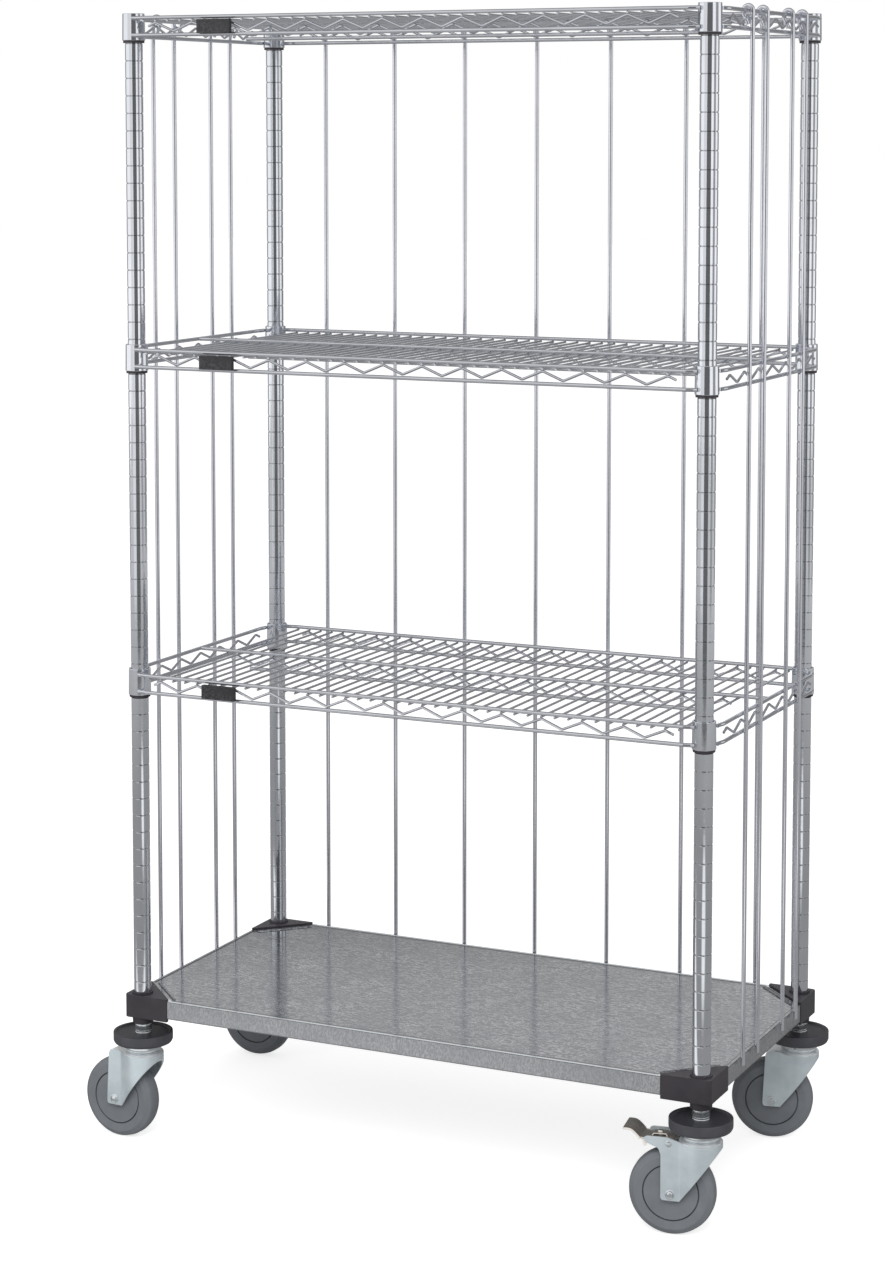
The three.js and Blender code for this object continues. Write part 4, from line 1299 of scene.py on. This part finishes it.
def studio_card(name, spot, width, height, shade):
    """A card that only reflections see."""
    pick(None)
    bpy.ops.mesh.primitive_plane_add(size=1, location=(0, 0, 0))
    card = bpy.context.object
    card.name = name
    settle(card, spot @ Matrix.Diagonal((width, height, 1, 1)))
    material, shader = studio_material(name, 0, {"Emission Strength": shade})
    card.data.materials.append(material)
    for rays in ("camera", "diffuse", "shadow", "transmission"):
        setattr(card, f"visible_{rays}", False)
    return material.node_tree, shader


def distance_from(tree, middle, half_width, half_depth):
    """The distance from a place on the floor, 1 at the edge of an oval round it."""
    mapping = tree.nodes.new("ShaderNodeMapping")
    mapping.vector_type = "TEXTURE"
    set_inputs(mapping, {"Location": (*middle, 0), "Scale": (half_width, half_depth, 1)})
    tree.links.new(object_place(tree), mapping.inputs["Vector"])
    length = tree.nodes.new("ShaderNodeVectorMath")
    length.operation = "LENGTH"
    tree.links.new(mapping.outputs["Vector"], length.inputs[0])
    return length.outputs["Value"]


def flat_cards():
    for name, (middle, size, height, shade) in OVERHEAD_CARDS.items():
        studio_card(name, Matrix.Translation((0, middle, height)), size, size, shade)
    middle, size, height, shade = GROUND_CARD
    tree, shader = studio_card(
        "card_ground", Matrix.Translation((0, middle, height)), size, size, shade)
    ground = map_range(
        tree, distance_from(tree, (0, 0), 1, 1), *GROUND_FAR, shade, GROUND_FAR_SHADE)
    pools = [map_range(tree, distance_from(tree, *pool), *POOL_FADE) for pool in LIGHT_POOLS]
    light = math_node(tree, "MAXIMUM", math_node(tree, "MAXIMUM", *pools), ground)
    tree.links.new(light, shader.inputs["Emission Strength"])


def studio_lamp(name, location, size, power):
    direction = Vector(LAMP_TARGET) - Vector(location)
    bpy.ops.object.light_add(type="AREA", location=location)
    lamp = bpy.context.object
    lamp.name = name
    lamp.rotation_euler = direction.to_track_quat("-Z", "Y").to_euler()
    lamp.data.shape = "RECTANGLE"
    lamp.data.size, lamp.data.size_y = size
    lamp.data.energy = power
    lamp.visible_glossy = False


def studio_world():
    world = bpy.data.worlds.new("studio_world")
    bpy.context.scene.world = world
    world.use_nodes = True
    tree = world.node_tree
    background = tree.nodes["Background"]
    background.inputs["Color"].default_value = (1, 1, 1, 1)
    strength = map_range(tree, background_rays(tree), 0.0, 1.0, WORLD_LIGHT, 1.0)
    tree.links.new(strength, background.inputs["Strength"])


def add_studio():
    studio_floor()
    studio_world()
    for name, lamp in LAMPS.items():
        studio_lamp(name, *lamp)
    for name, (turn, distance, width, height, shade) in UPRIGHT_CARDS.items():
        studio_card(name, upright(turn, distance, height), width, height, shade)
    flat_cards()
    bpy.context.scene.view_settings.view_transform = "Standard"


add_camera()
chrome = chrome_finish(
    "chrome_plate", (0.72, 0.745, 0.79), (0.83, 0.85, 0.9), rough=(0.05, 0.12))
# The posts' chrome, with painted shade in its grooves
groove_shaded_chrome = chrome_finish(
    "groove_shaded_chrome", (0.73, 0.755, 0.8), (0.84, 0.86, 0.91), rough=(0.05, 0.12), shade_grooves=True)
# The wires' chrome: the same plating as the posts, painted darker as shade
shaded_wire_chrome = chrome_finish(
    "shaded_wire_chrome", (0.60, 0.615, 0.655), (0.72, 0.735, 0.78), rough=(0.1, 0.2))
# The rods' chrome: the same plating, painted paler as light
lit_rod_chrome = chrome_finish(
    "lit_rod_chrome", (0.78, 0.795, 0.85), (0.9, 0.91, 0.97), rough=(0.07, 0.15))
bright_zinc = zinc_finish(
    "bright_zinc", (0.64, 0.68, 0.70), (0.82, 0.86, 0.88), metallic=0.9, rough=(0.08, 0.18))
zinc = zinc_finish(
    "zinc_plate", (0.62, 0.71, 0.75), (0.76, 0.84, 0.88), metallic=0.6, rough=(0.28, 0.4))
black = moulded_finish(
    "black_moulding", (0.026, 0.022, 0.028), (0.040, 0.034, 0.042), (0.11, 0.1, 0.115),
    rough=(0.38, 0.5), grain=900.0)
plate_black = moulded_finish(
    "plate_black", (0.015, 0.015, 0.017), (0.024, 0.024, 0.027), (0.09, 0.09, 0.1),
    rough=(0.3, 0.42), grain=900.0)
# The bumper's rubber: a painted shade on its top, and a painted highlight along its paler edges
rubber = moulded_finish(
    "bumper_rubber", (0.050, 0.051, 0.059), (0.070, 0.071, 0.081), (0.22, 0.22, 0.235),
    rough=(0.42, 0.58), grain=700.0, top=(0.032, 0.032, 0.039))
tyre = moulded_finish(
    "grey_tyre", (0.158, 0.17, 0.187), (0.19, 0.203, 0.22), (0.25, 0.26, 0.275),
    rough=(0.45, 0.6), grain=650.0)

add_posts(groove_shaded_chrome)
add_shelves(chrome, shaded_wire_chrome, black, plate_black)
add_rods(lit_rod_chrome)
add_base(galvanised_finish(), black)
add_casters(bright_zinc, zinc, rubber, tyre, bronzed_finish())
add_studio()
